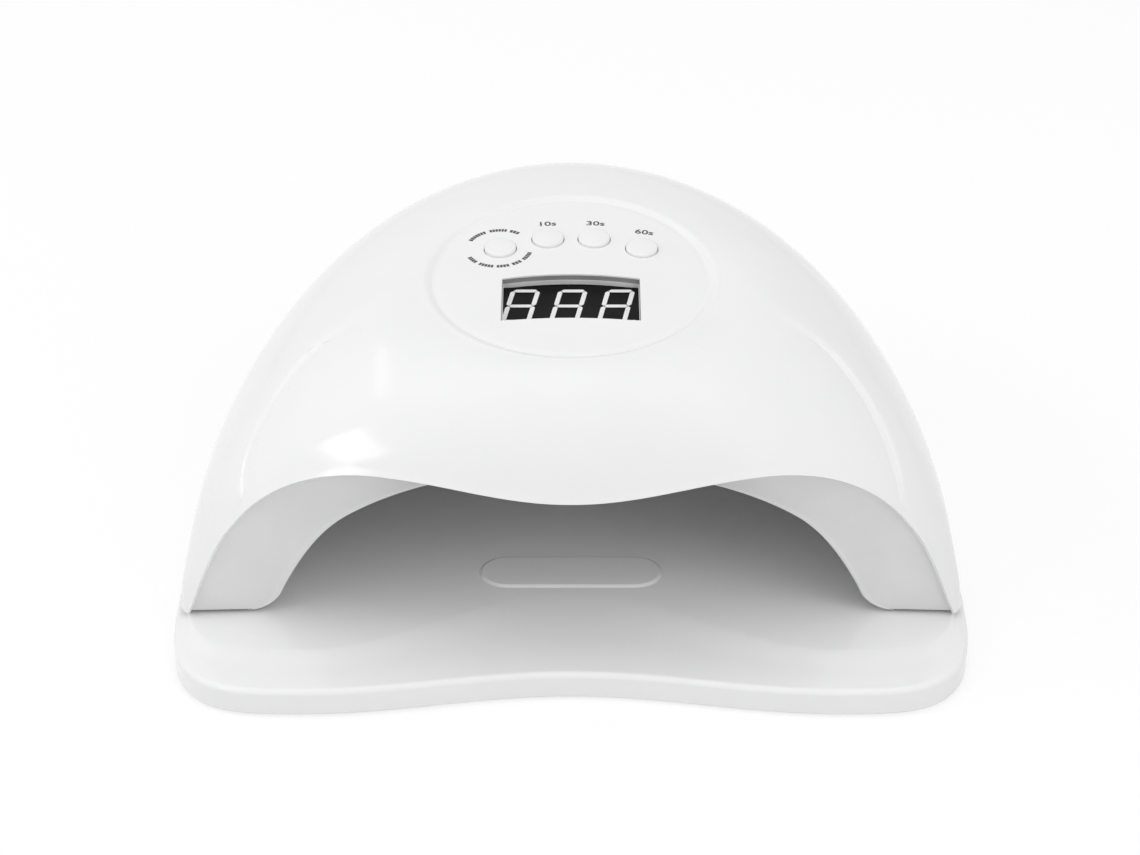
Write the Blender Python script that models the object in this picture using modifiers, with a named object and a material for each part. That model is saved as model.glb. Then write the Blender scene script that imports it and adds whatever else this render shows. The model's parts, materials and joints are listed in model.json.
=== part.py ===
"""UV curing lamp: a domed shell that lifts off a flat tray, with a round control panel on top.

Metres, +Z up. The hand goes in at -Y. The origin lies under the middle of the tray, on the table.
"""

import math

import bmesh
import bpy
from mathutils import Matrix, Vector

# ---- Fits -------------------------------------------------------------------------------------
gap = 0.0003  # between pieces that touch
hole_gap = 0.0004  # around a shank, a bead or a nose, on the radius

# ---- Tray -------------------------------------------------------------------------------------
tray_half_width = 0.106
tray_front_y = -0.100
tray_rear_y = 0.100
tray_lobe_share = 0.66  # of the half width, from the middle to the tip of each front lobe
tray_notch = 0.008  # how far the middle of the front edge lies behind the lobes
tray_corner_y = -0.055
tray_corner_power = 3.4
tray_bottom = 0.0006
tray_edge_top = 0.008
tray_edge_round = 0.0016
tray_wall = 0.0024
front_steps = 7  # along each half of the wave, and round each front corner
rear_steps = 16
plateau_rise = 0.0013
plateau_inset = 0.0035
plateau_front_y = -0.0825
plateau_notch = 0.027
pill_length = 0.0495
pill_width = 0.015
pill_y = -0.045
pill_rise = 0.0006
tray_floor = 0.0018  # thickness of the plate that closes the tray from below
rib_thickness = 0.0018
rib_spacing = 0.040
foot_radius = 0.006
foot_thickness = 0.0016
foot_front_inset = 0.022
foot_lobe_reach = 0.008
foot_rear_inset = 0.042
foot_rear_x = 0.044
boss_wall = 0.002

# ---- Dome -------------------------------------------------------------------------------------
outline_power = 1.9  # plan outline of tray and dome behind their widest line
widest_y = -0.0505
dome_margin = 0.0022  # tray edge to dome edge
dome_front_reach = 0.038
dome_front_power = 2.8
side_bulge = 1.95
rear_bulge = 2.2
front_bulge = 2.0
wall = 0.0022
shell_rows = 8  # of faces between the lip or the base and the panel

# ---- Control panel ----------------------------------------------------------------------------
panel_y = -0.0186
panel_z = 0.0872
panel_tilt = math.radians(6.5)
panel_radius = 0.039
panel_sag = 0.0013
panel_step = 0.0006
panel_step_width = 0.0012
display_width = 0.0376
display_depth = 0.0190
display_height = 0.0077
display_sink = 0.0028
display_q = -0.00935
opening_width = 0.0382
opening_depth = 0.0213
button_radius = 0.0043
button_crown = 0.0010
button_travel = 0.0008
button_places = ((-0.0192, 0.0135), (-0.0063, 0.0178), (0.0063, 0.0178), (0.0192, 0.0135))
flange_radius = 0.0054
flange_thickness = 0.0008
flange_play = 0.0005
stem_radius = 0.0022
stem_end = 0.0052  # depth of the stem's end below the panel's face
switch_size = 0.006
switch_height = 0.0035
plunger_radius = 0.0016
plunger_length = 0.0026
board_width = 0.072
board_depth = 0.050
board_thickness = 0.0016
board_q = 0.0015
chip_width = 0.010
chip_depth = 0.006
chip_height = 0.0018
board_parts = {
    "buzzer": {"radius": 0.006, "height": 0.0085, "place": (-0.016, 0.001)},
    "capacitor": {"radius": 0.004, "height": 0.0115, "place": (0.017, 0.002)},
}
board_screw_places = ((0.027, 0.0215), (-0.027, 0.0215), (0.027, -0.0190), (-0.027, -0.0190))

# ---- Front lip --------------------------------------------------------------------------------
lip_foot_inset = 0.0026
lip_arch_share = 0.494  # of the foot's distance from the middle
lip_arch_z = 0.0588
lip_middle_z = 0.0537
lip_inset = 0.0011  # liner band behind the wall's inner face
lip_setback = 0.0008
crease_depth = 0.0008
crease_width = math.radians(4.5)
lip_turns = [math.radians(a) for a in (0, 6, 14, 24, 35, 46, 58, 70, 80, 90)]
lip_wave_steps = 5

# ---- Inner liner ------------------------------------------------------------------------------
band_width = 0.0248  # from the dome's widest point to the cavity
cavity_height = 0.045
cavity_front_inset = 0.014
cavity_rear_inset = 0.0278
cavity_power = 3.0
cavity_fillet = 0.006
cavity_stations = (0.0, 0.15, 0.3, 0.45, 0.6, 0.72, 0.82, 0.9, 0.95, 0.98)  # shares of its depth
liner_wall = 0.0020
rim_thickness = 0.0030
rim_rear_place = 0.8  # share of the cavity's depth where the rim starts to reach behind the liner's edge
rim_rear_overlap = 0.0018

# ---- Lamp boards ------------------------------------------------------------------------------
strip_thickness = 0.0012
strip_side_steps = 5
bead_radius = 0.0026
bead_reach = 0.0008  # how far a bead looks out into the cavity
strips = {
    "led_strip_front": {"place": 0.22, "width": 0.010, "beads": 9, "first": math.radians(20)},
    "led_strip_rear": {"place": 0.60, "width": 0.010, "beads": 9, "first": math.radians(20)},
    "led_strip_back": {"place": 0.93, "width": 0.005, "beads": 6, "first": math.radians(35)},
}
sensor_strip = {"place": 0.09, "width": 0.010, "beads": 2, "first": math.radians(82)}

# ---- Fastenings, magnets and inlet ------------------------------------------------------------
case_screw_angles = tuple(math.radians(a) for a in (8, 52, 128, 172))
case_boss_radius = 0.0038
case_boss_height = 0.011
screw_head_radius = 0.0027
screw_head_height = 0.0014
screw_shank_radius = 0.0013
screw_length = 0.011
tray_screw_length = 0.0038
tray_screw_head_radius = 0.0024
tray_screw_head_height = 0.0012
tray_screw_shank_radius = 0.0011
board_boss_radius = 0.0032
board_screw_head_radius = 0.0020
board_screw_shank_radius = 0.0010
magnet_radius = 0.004
magnet_thickness = 0.002
magnet_skin = 0.0008
magnet_side_inset = 0.0123
magnet_rear_inset = 0.0138
magnet_rear_x = 0.024
jack_width = 0.009
jack_height = 0.0105
jack_length = 0.013
jack_nose_radius = 0.0038
jack_socket_radius = 0.00275
jack_pin_radius = 0.0010
jack_socket_depth = 0.009
jack_setback = 0.0012  # from the wall's smooth inner face to the body, since the wall is made of flat faces
vent_places = (0.022, 0.028, 0.034, 0.040)
vent_width = 0.0022
vent_bottom = 0.018
vent_height = 0.014
lead_radius = 0.0012
power_lead_route = (  # from the middle of the inlet's rear end
    (0, 0, 0),
    (0, -0.0025, 0),
    (0.001, -0.0042, 0.005),
    (0.003, -0.006, 0.015),
    (0.006, -0.012, 0.030),
    (0.010, -0.034, 0.045),
    (0.010, -0.061, 0.046),
)
power_lead_place = (0.010, 0.018)  # on the board
led_lead_places = {  # where each lead leaves the board, and the turn at which it meets its strip
    "led_strip_front": (-0.006, -0.018, math.radians(96)),
    "led_strip_rear": (-0.012, 0.014, math.radians(96)),
    "led_strip_back": (0.002, 0.020, math.radians(84)),
}

# ---- What follows from them -------------------------------------------------------------------
plateau_top = tray_edge_top + plateau_rise
base_z = plateau_top + gap
dome_half_width = tray_half_width - dome_margin
dome_rear_y = tray_rear_y - dome_margin
tray_lobe_x = tray_half_width * tray_lobe_share
lip_foot_x = dome_half_width - lip_foot_inset
lip_arch_x = lip_foot_x * lip_arch_share
cavity_half_width = dome_half_width - band_width
cavity_front_y = widest_y - cavity_front_inset
cavity_rear_y = dome_rear_y - cavity_rear_inset
rim_top = base_z + rim_thickness
tray_floor_top = tray_bottom + tray_floor
tray_ceiling = tray_edge_top - tray_wall
tray_screw_low = foot_thickness + 2 * gap
tray_pad_top = tray_screw_low + tray_screw_head_height + gap + tray_floor / 2
board_top_depth = display_sink + display_height + gap
board_bottom_depth = board_top_depth + board_thickness
case_boss_bottom = rim_top + gap
quarter = math.pi / 2


def in_pairs(*places):
    """Each place and its mirror image across the middle."""
    return [(side * x, y) for x, y in places for side in (1, -1)]


foot_places = in_pairs(
    (tray_lobe_x + foot_lobe_reach, tray_front_y + foot_front_inset), (foot_rear_x, tray_rear_y - foot_rear_inset)
)
magnet_places = in_pairs(
    (dome_half_width - magnet_side_inset, widest_y), (magnet_rear_x, dome_rear_y - magnet_rear_inset)
)


# ---- Scene helpers ----------------------------------------------------------------------------
def clear_scene():
    for obj in list(bpy.data.objects):
        bpy.data.objects.remove(obj, do_unlink=True)


def new_collection(name):
    collection = bpy.data.collections.new(name)
    bpy.context.scene.collection.children.link(collection)
    return collection


def make_material(name, color, roughness, metallic=0.0):
    material = bpy.data.materials.new(name)
    material.use_nodes = True
    shader = material.node_tree.nodes["Principled BSDF"]
    shader.inputs["Base Color"].default_value = (*color, 1.0)
    shader.inputs["Roughness"].default_value = roughness
    shader.inputs["Metallic"].default_value = metallic
    return material


def place(mesh, name, material, parent=None, location=(0, 0, 0)):
    """Puts a mesh in the scene as a part or, with no material, as a cutter."""
    obj = bpy.data.objects.new(name, mesh)
    obj.location = location
    obj.parent = parent
    if material:
        mesh.materials.append(material)
        parts.objects.link(obj)
    else:
        obj.hide_render = True
        obj.display_type = "WIRE"
        cutters.objects.link(obj)
    return obj


def finish(bm, name, material=None, parent=None, location=(0, 0, 0), smooth_angle=40):
    mesh = bpy.data.meshes.new(name)
    bm.to_mesh(mesh)
    bm.free()
    mesh.shade_smooth()
    mesh.set_sharp_from_angle(angle=math.radians(smooth_angle))
    return place(mesh, name, material, parent, location)


def boolean(obj, cutter, operation="DIFFERENCE"):
    modifier = obj.modifiers.new(f"{operation.lower()} {cutter.name}", "BOOLEAN")
    modifier.operation = operation
    modifier.object = cutter


def solidify(obj, thickness, offset):
    modifier = obj.modifiers.new("wall", "SOLIDIFY")
    modifier.thickness = thickness
    modifier.offset = offset
    modifier.use_even_offset = True


def add_cylinder(bm, radius, start, end, sides=20):
    start = Vector(start)
    axis = Vector(end) - start
    turn = axis.to_track_quat("Z", "Y").to_matrix().to_4x4()
    matrix = Matrix.Translation(start + axis / 2) @ turn
    bmesh.ops.create_cone(
        bm, cap_ends=True, segments=sides, radius1=radius, radius2=radius, depth=axis.length, matrix=matrix
    )


def add_box(bm, low, high):
    low, high = Vector(low), Vector(high)
    scale = Matrix.Diagonal((*(high - low), 1.0))
    bmesh.ops.create_cube(bm, size=1.0, matrix=Matrix.Translation((low + high) / 2) @ scale)


def cylinders(name, material, radius, spans, sides=20, parent=None):
    bm = bmesh.new()
    for start, end in spans:
        add_cylinder(bm, radius, start, end, sides)
    return finish(bm, name, material, parent)


def box(name, material, low, high, parent=None, bevel=0.0):
    bm = bmesh.new()
    add_box(bm, low, high)
    if bevel:
        bmesh.ops.bevel(
            bm, geom=bm.edges[:], offset=bevel, segments=2, profile=0.5, affect="EDGES", material=-1
        )
    return finish(bm, name, material, parent)


def turned(name, material, profile, parent=None, location=(0, 0, 0), steps=20):
    """A round piece from its profile, which runs from the axis at the top to the axis at the bottom."""
    bm = bmesh.new()
    verts = [bm.verts.new((radius, 0, height)) for radius, height in profile]
    for first, second in zip(verts, verts[1:]):
        bm.edges.new((first, second))
    obj = finish(bm, name, material, parent, location)
    screw = obj.modifiers.new("turn", "SCREW")
    screw.steps = screw.render_steps = steps
    screw.use_merge_vertices = True
    screw.merge_threshold = 0.00001
    screw.use_smooth_shade = True
    return obj


def add_grid(bm, rows, closed):
    """Quads between rows of points. A closed grid joins each row's last point to its first."""
    grid = [[bm.verts.new(point) for point in row] for row in rows]
    count = len(grid[0])
    for lower, upper in zip(grid, grid[1:]):
        for i in range(count if closed else count - 1):
            j = (i + 1) % count
            bm.faces.new((lower[i], lower[j], upper[j], upper[i]))
    return grid


def add_fan(bm, ring, tip_point, closed):
    tip = bm.verts.new(tip_point)
    for i in range(len(ring) if closed else len(ring) - 1):
        bm.faces.new((ring[i], ring[(i + 1) % len(ring)], tip))


def prism(name, material, loops):
    """A closed solid through loops of points, one above the other, from the bottom to the top."""
    bm = bmesh.new()
    grid = add_grid(bm, loops, closed=True)
    bm.faces.new(grid[0][::-1])
    bm.faces.new(grid[-1])
    return finish(bm, name, material)


# ---- Plan outlines ----------------------------------------------------------------------------
def signed_power(value, power):
    return math.copysign(abs(value) ** power, value)


def inset(outline, distance):
    """The closed outline moved inwards. It runs counter-clockwise."""
    moved = []
    count = len(outline)
    for i, (x, y) in enumerate(outline):
        before, after = outline[i - 1], outline[(i + 1) % count]
        run = Vector((after[0] - before[0], after[1] - before[1])).normalized()
        moved.append((x - run.y * distance, y + run.x * distance))
    return moved


def mirrored(half):
    """A whole outline from its right half, which runs from the front middle to the rear middle."""
    return half + [(-x, y) for x, y in reversed(half[1:-1])]


def front_wave(x, half_span, front_y, notch):
    return front_y + notch * (0.5 + 0.5 * math.cos(math.pi * x / half_span))


def plate_outline(margin, front_y, notch):
    """The tray's plan: a wavy front between two lobes, round corners, and a rounded rear."""
    half_width = tray_half_width - margin
    lobe_x = tray_lobe_x
    rear_y = tray_rear_y - margin
    half = []
    for i in range(front_steps):
        x = lobe_x * i / front_steps
        half.append((x, front_wave(x, lobe_x, front_y, notch)))
    for i in range(front_steps):
        turn = quarter * i / front_steps
        x = lobe_x + (half_width - lobe_x) * math.sin(turn) ** (2 / tray_corner_power)
        y = tray_corner_y - (tray_corner_y - front_y) * math.cos(turn) ** (2 / tray_corner_power)
        half.append((x, y))
    for i in range(rear_steps + 1):
        turn = quarter * i / rear_steps
        x = half_width * max(0.0, math.cos(turn)) ** (2 / outline_power)
        y = tray_corner_y + (rear_y - tray_corner_y) * math.sin(turn) ** (2 / outline_power)
        half.append((x, y))
    half[-1] = (0.0, rear_y)
    return mirrored(half)


def tray_side_x(y):
    share = (y - tray_corner_y) / (tray_rear_y - tray_corner_y)
    return tray_half_width * (1 - max(0.0, share) ** outline_power) ** (1 / outline_power)


def at_height(outline, z):
    return [(x, y, z) for x, y in outline]


# ---- Dome surface -----------------------------------------------------------------------------
def panel_face(p):
    """Height of the panel's face over its tilted plane, without the step."""
    return -panel_sag * (p / panel_radius) ** 2


def panel_to_world(p, q, height):
    up = Vector((0, -math.sin(panel_tilt), math.cos(panel_tilt)))
    along = Vector((0, math.cos(panel_tilt), math.sin(panel_tilt)))
    return Vector((p, panel_y, panel_z)) + q * along + height * up


def plain_dome_point(angle, lean):
    """The dome's outer surface. Angle turns round the dome from +X, and lean rises from 0 at the base to a
    quarter turn at the panel."""
    across, along = math.cos(angle), math.sin(angle)
    behind = along >= 0
    power = outline_power if behind else dome_front_power
    reach = dome_rear_y - widest_y if behind else dome_front_reach
    base = Vector((dome_half_width * signed_power(across, 2 / power), 0, base_z))
    base.y = widest_y + reach * signed_power(along, 2 / power)
    p, q = panel_radius * across, panel_radius * along
    ring = panel_to_world(p, q, panel_face(p))
    blend = abs(along) ** 1.5
    bulge = side_bulge * (1 - blend) + (rear_bulge if behind else front_bulge) * blend
    out = max(0.0, math.cos(lean)) ** (2 / bulge)
    up = math.sin(lean) ** (2 / bulge)
    z = base_z + (ring.z - base_z) * up
    return Vector((ring.x + (base.x - ring.x) * out, ring.y + (base.y - ring.y) * out, z))


def dome_normal(angle, lean):
    step = 0.002
    lean = min(max(lean, 2 * step), quarter - 2 * step)
    around = plain_dome_point(angle + step, lean) - plain_dome_point(angle - step, lean)
    rise = plain_dome_point(angle, lean + step) - plain_dome_point(angle, lean - step)
    return around.cross(rise).normalized()


def smooth_step(value):
    value = min(max(value, 0.0), 1.0)
    return value * value * (3 - 2 * value)


def crease_angle(lean):
    """How far in front of the dome's side the crease runs at this height."""
    share = min(max((math.degrees(lean) - 30) / 32, 0.0), 1.0)
    return math.radians(9 + 20 * (1 - share) ** 1.2)


def front_relief(angle, lean):
    """How far the front field lies below the flanks."""
    from_side = min(abs(angle), abs(math.pi - abs(angle)))
    if math.sin(angle) >= 0:
        return 0.0
    fade = 1 - smooth_step((math.degrees(lean) - 62) / 20)
    return crease_depth * fade * smooth_step((from_side - crease_angle(lean)) / crease_width + 0.5)


def dome_point(angle, lean):
    return plain_dome_point(angle, lean) - dome_normal(angle, lean) * front_relief(angle, lean)


def lean_at_height(angle, z):
    low, high = 0.0, quarter
    for _ in range(40):
        lean = (low + high) / 2
        if plain_dome_point(angle, lean).z < z:
            low = lean
        else:
            high = lean
    return lean


def meridian_through(x, z):
    """Angle and lean of the dome's front surface at this x and height."""
    low, high = -quarter, 0.0
    for _ in range(40):
        angle = (low + high) / 2
        lean = lean_at_height(angle, z)
        if plain_dome_point(angle, lean).x < abs(x):
            low = angle
        else:
            high = angle
    return (angle, lean) if x >= 0 else (-math.pi - angle, lean)


# ---- Front lip --------------------------------------------------------------------------------
def lip_half():
    """The lip's right half as (x, z), from the foot to the middle: a quarter ellipse and half a wave."""
    points = []
    for turn in lip_turns:
        x = lip_arch_x + (lip_foot_x - lip_arch_x) * math.cos(turn)
        points.append((x, base_z + (lip_arch_z - base_z) * math.sin(turn)))
    for i in range(1, lip_wave_steps + 1):
        x = lip_arch_x * (1 - i / lip_wave_steps)
        points.append((x, front_wave(x, lip_arch_x, lip_arch_z, lip_middle_z - lip_arch_z)))
    return points


def lip_meridians():
    """(angle, lean) of the lip's points, from the right foot to the left."""
    right = [meridian_through(x, z) for x, z in lip_half()]
    right[0] = (right[0][0], 0.0)
    return right + [(-math.pi - angle, lean) for angle, lean in reversed(right[:-1])]


def rim_meridians():
    """(angle, lean) round the shell's lower edge: along the base behind, and along the lip in front."""
    lip = lip_meridians()
    foot = lip[0][0]
    base = [(foot * share, 0.0) for share in (1.0, 0.5)]
    base += [(math.pi * i / 26, 0.0) for i in range(27)]
    base += [(math.pi - foot * share, 0.0) for share in (0.5, 1.0)]
    return base + lip[-2:0:-1]


# ---- Cavity surface ---------------------------------------------------------------------------
def arch_turns():
    """Turns of the cavity's arch, one for each point of the lip's right half."""
    foot = [math.asin(cavity_fillet * (1 - math.cos(math.radians(a))) / cavity_height) for a in (0, 40, 90)]
    rest = len(lip_turns) + lip_wave_steps - len(foot)
    right = foot + [foot[-1] + (quarter - foot[-1]) * (i + 1) / rest for i in range(rest)]
    return right + [math.pi - turn for turn in reversed(right[:-1])]


def cavity_scale(place):
    return max(0.0, 1 - place**cavity_power) ** (1 / cavity_power)


def cavity_side(place, height):
    """Half width of the cavity at this share of its depth and this height over its base."""
    top = cavity_height * cavity_scale(place)
    flat = cavity_half_width * cavity_scale(place) * math.sqrt(max(0.0, 1 - (height / top) ** 2))
    fillet = min(cavity_fillet, top)
    lift = max(0.0, fillet - height)
    return flat + fillet - math.sqrt(fillet * fillet - lift * lift)


def cavity_y(place):
    return cavity_front_y + (cavity_rear_y - cavity_front_y) * place


def cavity_point(turn, place):
    height = cavity_height * cavity_scale(place) * math.sin(turn)
    side = cavity_side(place, height) if abs(math.cos(turn)) > 1e-6 else 0.0
    return Vector((math.copysign(side, math.cos(turn)), cavity_y(place), base_z + height))


def cavity_normal(turn, place):
    """Away from the cavity, into the liner's wall."""
    step = 0.002
    around = cavity_point(turn + step, place) - cavity_point(turn - step, place)
    along = cavity_point(turn, place + step) - cavity_point(turn, place - step)
    return along.cross(around).normalized()


def off_cavity(turn, place, lift):
    return cavity_point(turn, place) + cavity_normal(turn, place) * lift


def cavity_edge_toward(x, y):
    """The point of the cavity's base edge that lies in the same direction as x, y from its front middle."""
    low, high = 0.0, 1.0
    wanted = math.atan2(y - cavity_front_y, abs(x))
    for _ in range(40):
        place = (low + high) / 2
        if math.atan2(cavity_y(place) - cavity_front_y, cavity_rim_x(place)) < wanted:
            low = place
        else:
            high = place
    return math.copysign(cavity_rim_x(place), x), cavity_y(place) + rim_overlap(place)


def cavity_rim_x(place):
    """Half width of the rim's inner edge, which lies inside the liner's wall."""
    scale = cavity_scale(place)
    foot = min(cavity_fillet, cavity_height * scale)
    return max(0.0, cavity_half_width * scale + foot - liner_wall / 4)


def rim_overlap(place):
    return rim_rear_overlap * smooth_step((place - rim_rear_place) / (1 - rim_rear_place))


# ---- Tray pieces ------------------------------------------------------------------------------
def make_tray():
    outer = plate_outline(0.0, tray_front_y, tray_notch)
    shoulder = tray_edge_top - tray_edge_round
    loops = [at_height(outer, tray_bottom), at_height(outer, shoulder)]
    for turn in (45, 90):
        turn = math.radians(turn)
        edge = inset(outer, tray_edge_round * (1 - math.cos(turn)))
        loops.append(at_height(edge, shoulder + tray_edge_round * math.sin(turn)))
    tray = prism("base_tray", white_plastic, loops)
    boolean(tray, plateau_solid(), "UNION")
    boolean(tray, pill_solid(), "UNION")
    pocket = inset(outer, tray_wall)
    pocket_solid = prism("tray_pocket", None, [at_height(pocket, -tray_wall), at_height(pocket, tray_ceiling)])
    boolean(tray, pocket_solid)
    boolean(tray, tray_frame(), "UNION")
    boolean(tray, tray_bores())


def plateau_solid():
    field = plate_outline(plateau_inset, plateau_front_y, plateau_notch)
    rounding = plateau_rise * 0.6
    low = tray_edge_top - tray_wall / 2
    loops = [at_height(field, low), at_height(field, plateau_top - rounding)]
    loops.append(at_height(inset(field, rounding), plateau_top))
    return prism("tray_plateau", None, loops)


def pill_solid():
    half = pill_length / 2 - pill_width / 2
    outline = []
    for side in (1, -1):
        for i in range(13):
            turn = -side * quarter + math.pi * i / 12
            outline.append((side * half + pill_width / 2 * math.cos(turn), pill_width / 2 * math.sin(turn)))
    outline = [(x, y + pill_y) for x, y in outline]
    loops = [at_height(outline, plateau_top - pill_rise), at_height(outline, plateau_top + pill_rise / 2)]
    loops.append(at_height(inset(outline, pill_rise), plateau_top + pill_rise))
    return prism("tray_pill", None, loops)


def tray_frame():
    """Ribs, screw bosses and magnet bosses inside the tray."""
    bm = bmesh.new()
    low, top = tray_floor_top + gap, tray_ceiling + tray_wall / 3
    for step in (-1, 0, 1):
        y = step * rib_spacing
        reach = tray_side_x(y) - tray_wall / 2
        add_box(bm, (-reach, y - rib_thickness / 2, low), (reach, y + rib_thickness / 2, top))
    frame = finish(bm, "tray_ribs", None)
    front = tray_front_y + tray_notch + tray_wall / 2
    spine_low = (-rib_thickness / 2, front, low)
    spine_high = (rib_thickness / 2, tray_rear_y - tray_wall / 2, top)
    boolean(frame, box("tray_spine", None, spine_low, spine_high), "UNION")
    screws = [((x, y, tray_pad_top + gap), (x, y, top)) for x, y in foot_places]
    radius = tray_screw_head_radius + boss_wall
    boolean(frame, cylinders("tray_screw_bosses", None, radius, screws, 12), "UNION")
    magnets = [((x, y, low), (x, y, top)) for x, y in magnet_places]
    boolean(frame, cylinders("magnet_bosses", None, magnet_radius + boss_wall, magnets, 16), "UNION")
    return frame


def tray_magnet_top():
    return plateau_top - magnet_skin - gap


def tray_bores():
    """Blind holes inside the tray for the magnets and for the screws of its floor."""
    bm = bmesh.new()
    screw_top = tray_screw_low + tray_screw_head_height + tray_screw_length + gap
    for x, y in foot_places:
        add_cylinder(bm, tray_screw_shank_radius + gap, (x, y, tray_floor_top), (x, y, screw_top), 12)
    for x, y in magnet_places:
        add_cylinder(bm, magnet_radius + hole_gap, (x, y, 0), (x, y, tray_magnet_top() + gap), 16)
    return finish(bm, "tray_bores", None)


def make_tray_floor():
    """The plate that closes the tray from below. Its screws hide under the rubber feet."""
    edge = inset(plate_outline(0.0, tray_front_y, tray_notch), tray_wall + gap)
    loops = [at_height(edge, tray_bottom), at_height(edge, tray_floor_top)]
    plate = prism("tray_floor", white_plastic, loops)
    pads = [((x, y, tray_bottom + tray_floor / 2), (x, y, tray_pad_top)) for x, y in foot_places]
    boolean(plate, cylinders("foot_pads", None, foot_radius + boss_wall, pads, 16), "UNION")
    seats = [((x, y, -tray_wall), (x, y, foot_thickness + gap)) for x, y in foot_places]
    boolean(plate, cylinders("foot_seats", None, foot_radius + hole_gap, seats))
    head_top = tray_screw_low + tray_screw_head_height + gap
    heads = [((x, y, 0), (x, y, head_top)) for x, y in foot_places]
    boolean(plate, cylinders("tray_head_bores", None, tray_screw_head_radius + hole_gap, heads, 12))
    shanks = [((x, y, 0), (x, y, tray_pad_top + tray_wall)) for x, y in foot_places]
    boolean(plate, cylinders("tray_shank_bores", None, tray_screw_shank_radius + hole_gap, shanks, 10))


def make_feet_and_screws():
    chamfer = foot_thickness / 5
    profile = [(0, foot_thickness), (foot_radius, foot_thickness), (foot_radius, chamfer)]
    profile += [(foot_radius - chamfer, 0), (0, 0)]
    for i, (x, y) in enumerate(foot_places, 1):
        turned(f"rubber_foot_{i}", rubber, profile, location=(x, y, 0), steps=20)
    head, shank = tray_screw_head_radius, tray_screw_shank_radius
    profile = screw_profile(head, tray_screw_head_height, shank, tray_screw_length)
    for i, (x, y) in enumerate(foot_places, 1):
        turned(f"tray_screw_{i}", metal, profile, location=(x, y, tray_screw_low), steps=10)


def make_magnets():
    profile = [(0, magnet_thickness), (magnet_radius, magnet_thickness), (magnet_radius, 0), (0, 0)]
    for i, (x, y) in enumerate(magnet_places, 1):
        low = tray_magnet_top() - magnet_thickness
        turned(f"tray_magnet_{i}", steel, profile, location=(x, y, low), steps=16)
        low = base_z + magnet_skin + gap
        turned(f"lamp_magnet_{i}", steel, profile, location=(x, y, low), steps=16)


# ---- Shell ------------------------------------------------------------------------------------
def panel_drop(radius):
    return panel_step * smooth_step((panel_radius - radius) / panel_step_width)


def panel_row(meridians, radius):
    row = []
    for angle, _ in meridians:
        p, q = radius * math.cos(angle), radius * math.sin(angle)
        row.append(panel_to_world(p, q, panel_face(p) - panel_drop(radius)))
    return row


def make_shell():
    meridians = rim_meridians()
    rows = []
    for k in range(shell_rows + 1):
        share = k / shell_rows
        rows.append([dome_point(angle, lean + (quarter - lean) * share) for angle, lean in meridians])
    for radius in (panel_radius - panel_step_width, panel_radius * 0.55):
        rows.append(panel_row(meridians, radius))
    bm = bmesh.new()
    grid = add_grid(bm, rows, closed=True)
    add_fan(bm, grid[-1], panel_to_world(0, 0, -panel_step), closed=True)
    shell = finish(bm, "top_shell", white_plastic)
    solidify(shell, wall, -1)
    boolean(shell, case_bosses(), "UNION")
    boolean(shell, board_bosses(), "UNION")
    boolean(shell, shell_holes())
    boolean(shell, panel_holes())


def face_height(p):
    """Height of the panel's finished face over its tilted plane."""
    return panel_face(p) - panel_step


def case_boss_place(angle):
    """Middle of a case boss, which leans against the inner face of the wall."""
    edge = plain_dome_point(angle, 0.0)
    normal = dome_normal(angle, 0.0)
    inward = Vector((normal.x, normal.y, 0)).normalized()
    return edge - inward * (wall + case_boss_radius - wall / 3)


def case_bosses():
    spans = []
    for angle in case_screw_angles:
        x, y, _ = case_boss_place(angle)
        spans.append(((x, y, case_boss_bottom), (x, y, case_boss_bottom + case_boss_height)))
    return cylinders("case_bosses", None, case_boss_radius, spans, 14)


def board_bosses():
    spans = []
    for p, q in board_screw_places:
        face = face_height(p)
        spans.append(((p, q, gap - board_top_depth - panel_step), (p, q, face - wall / 2)))
    return cylinders("board_bosses", None, board_boss_radius, spans, 14, panel)


def shell_holes():
    """Screw holes in the case bosses, the hole for the inlet, and the vents beside it."""
    bm = bmesh.new()
    for angle in case_screw_angles:
        x, y, _ = case_boss_place(angle)
        top = case_boss_bottom + case_boss_height - wall / 2
        add_cylinder(bm, screw_shank_radius + hole_gap, (x, y, base_z), (x, y, top), 10)
    z = jack_z()
    add_cylinder(bm, jack_nose_radius + hole_gap, (0, jack_face_y() - jack_length, z), (0, tray_rear_y, z))
    for x in vent_places:
        for side in (-1, 1):
            low = (side * x - vent_width / 2, dome_rear_y / 2, vent_bottom)
            high = (side * x + vent_width / 2, tray_rear_y, vent_bottom + vent_height)
            add_box(bm, low, high)
    return finish(bm, "shell_holes", None)


def panel_holes():
    """Cuts square to the panel: the display opening, the button holes and the board's screw holes."""
    bm = bmesh.new()
    half_width, half_depth = opening_width / 2, opening_depth / 2
    low = (-half_width, display_q - half_depth, -board_top_depth)
    add_box(bm, low, (half_width, display_q + half_depth, wall))
    for p, q in button_places:
        add_cylinder(bm, button_radius + gap, (p, q, -board_top_depth), (p, q, wall))
    for p, q in board_screw_places:
        top = face_height(p) - wall - gap
        add_cylinder(bm, board_screw_shank_radius + gap, (p, q, -board_top_depth - wall), (p, q, top), 10)
    return finish(bm, "panel_holes", None, panel)


# ---- Liner ------------------------------------------------------------------------------------
def band_rows():
    """The band between the shell's lip and the cavity's front edge."""
    outer = []
    for angle, lean in lip_meridians():
        edge = dome_point(angle, lean) - dome_normal(angle, lean) * (wall + lip_inset)
        edge.z = edge.z + lip_setback if lean > 0 else base_z
        outer.append(edge)
    inner = [cavity_point(turn, 0.0) for turn in arch_turns()]
    middle = [first.lerp(second, 0.5) for first, second in zip(outer, inner)]
    return [outer, middle]


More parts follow.
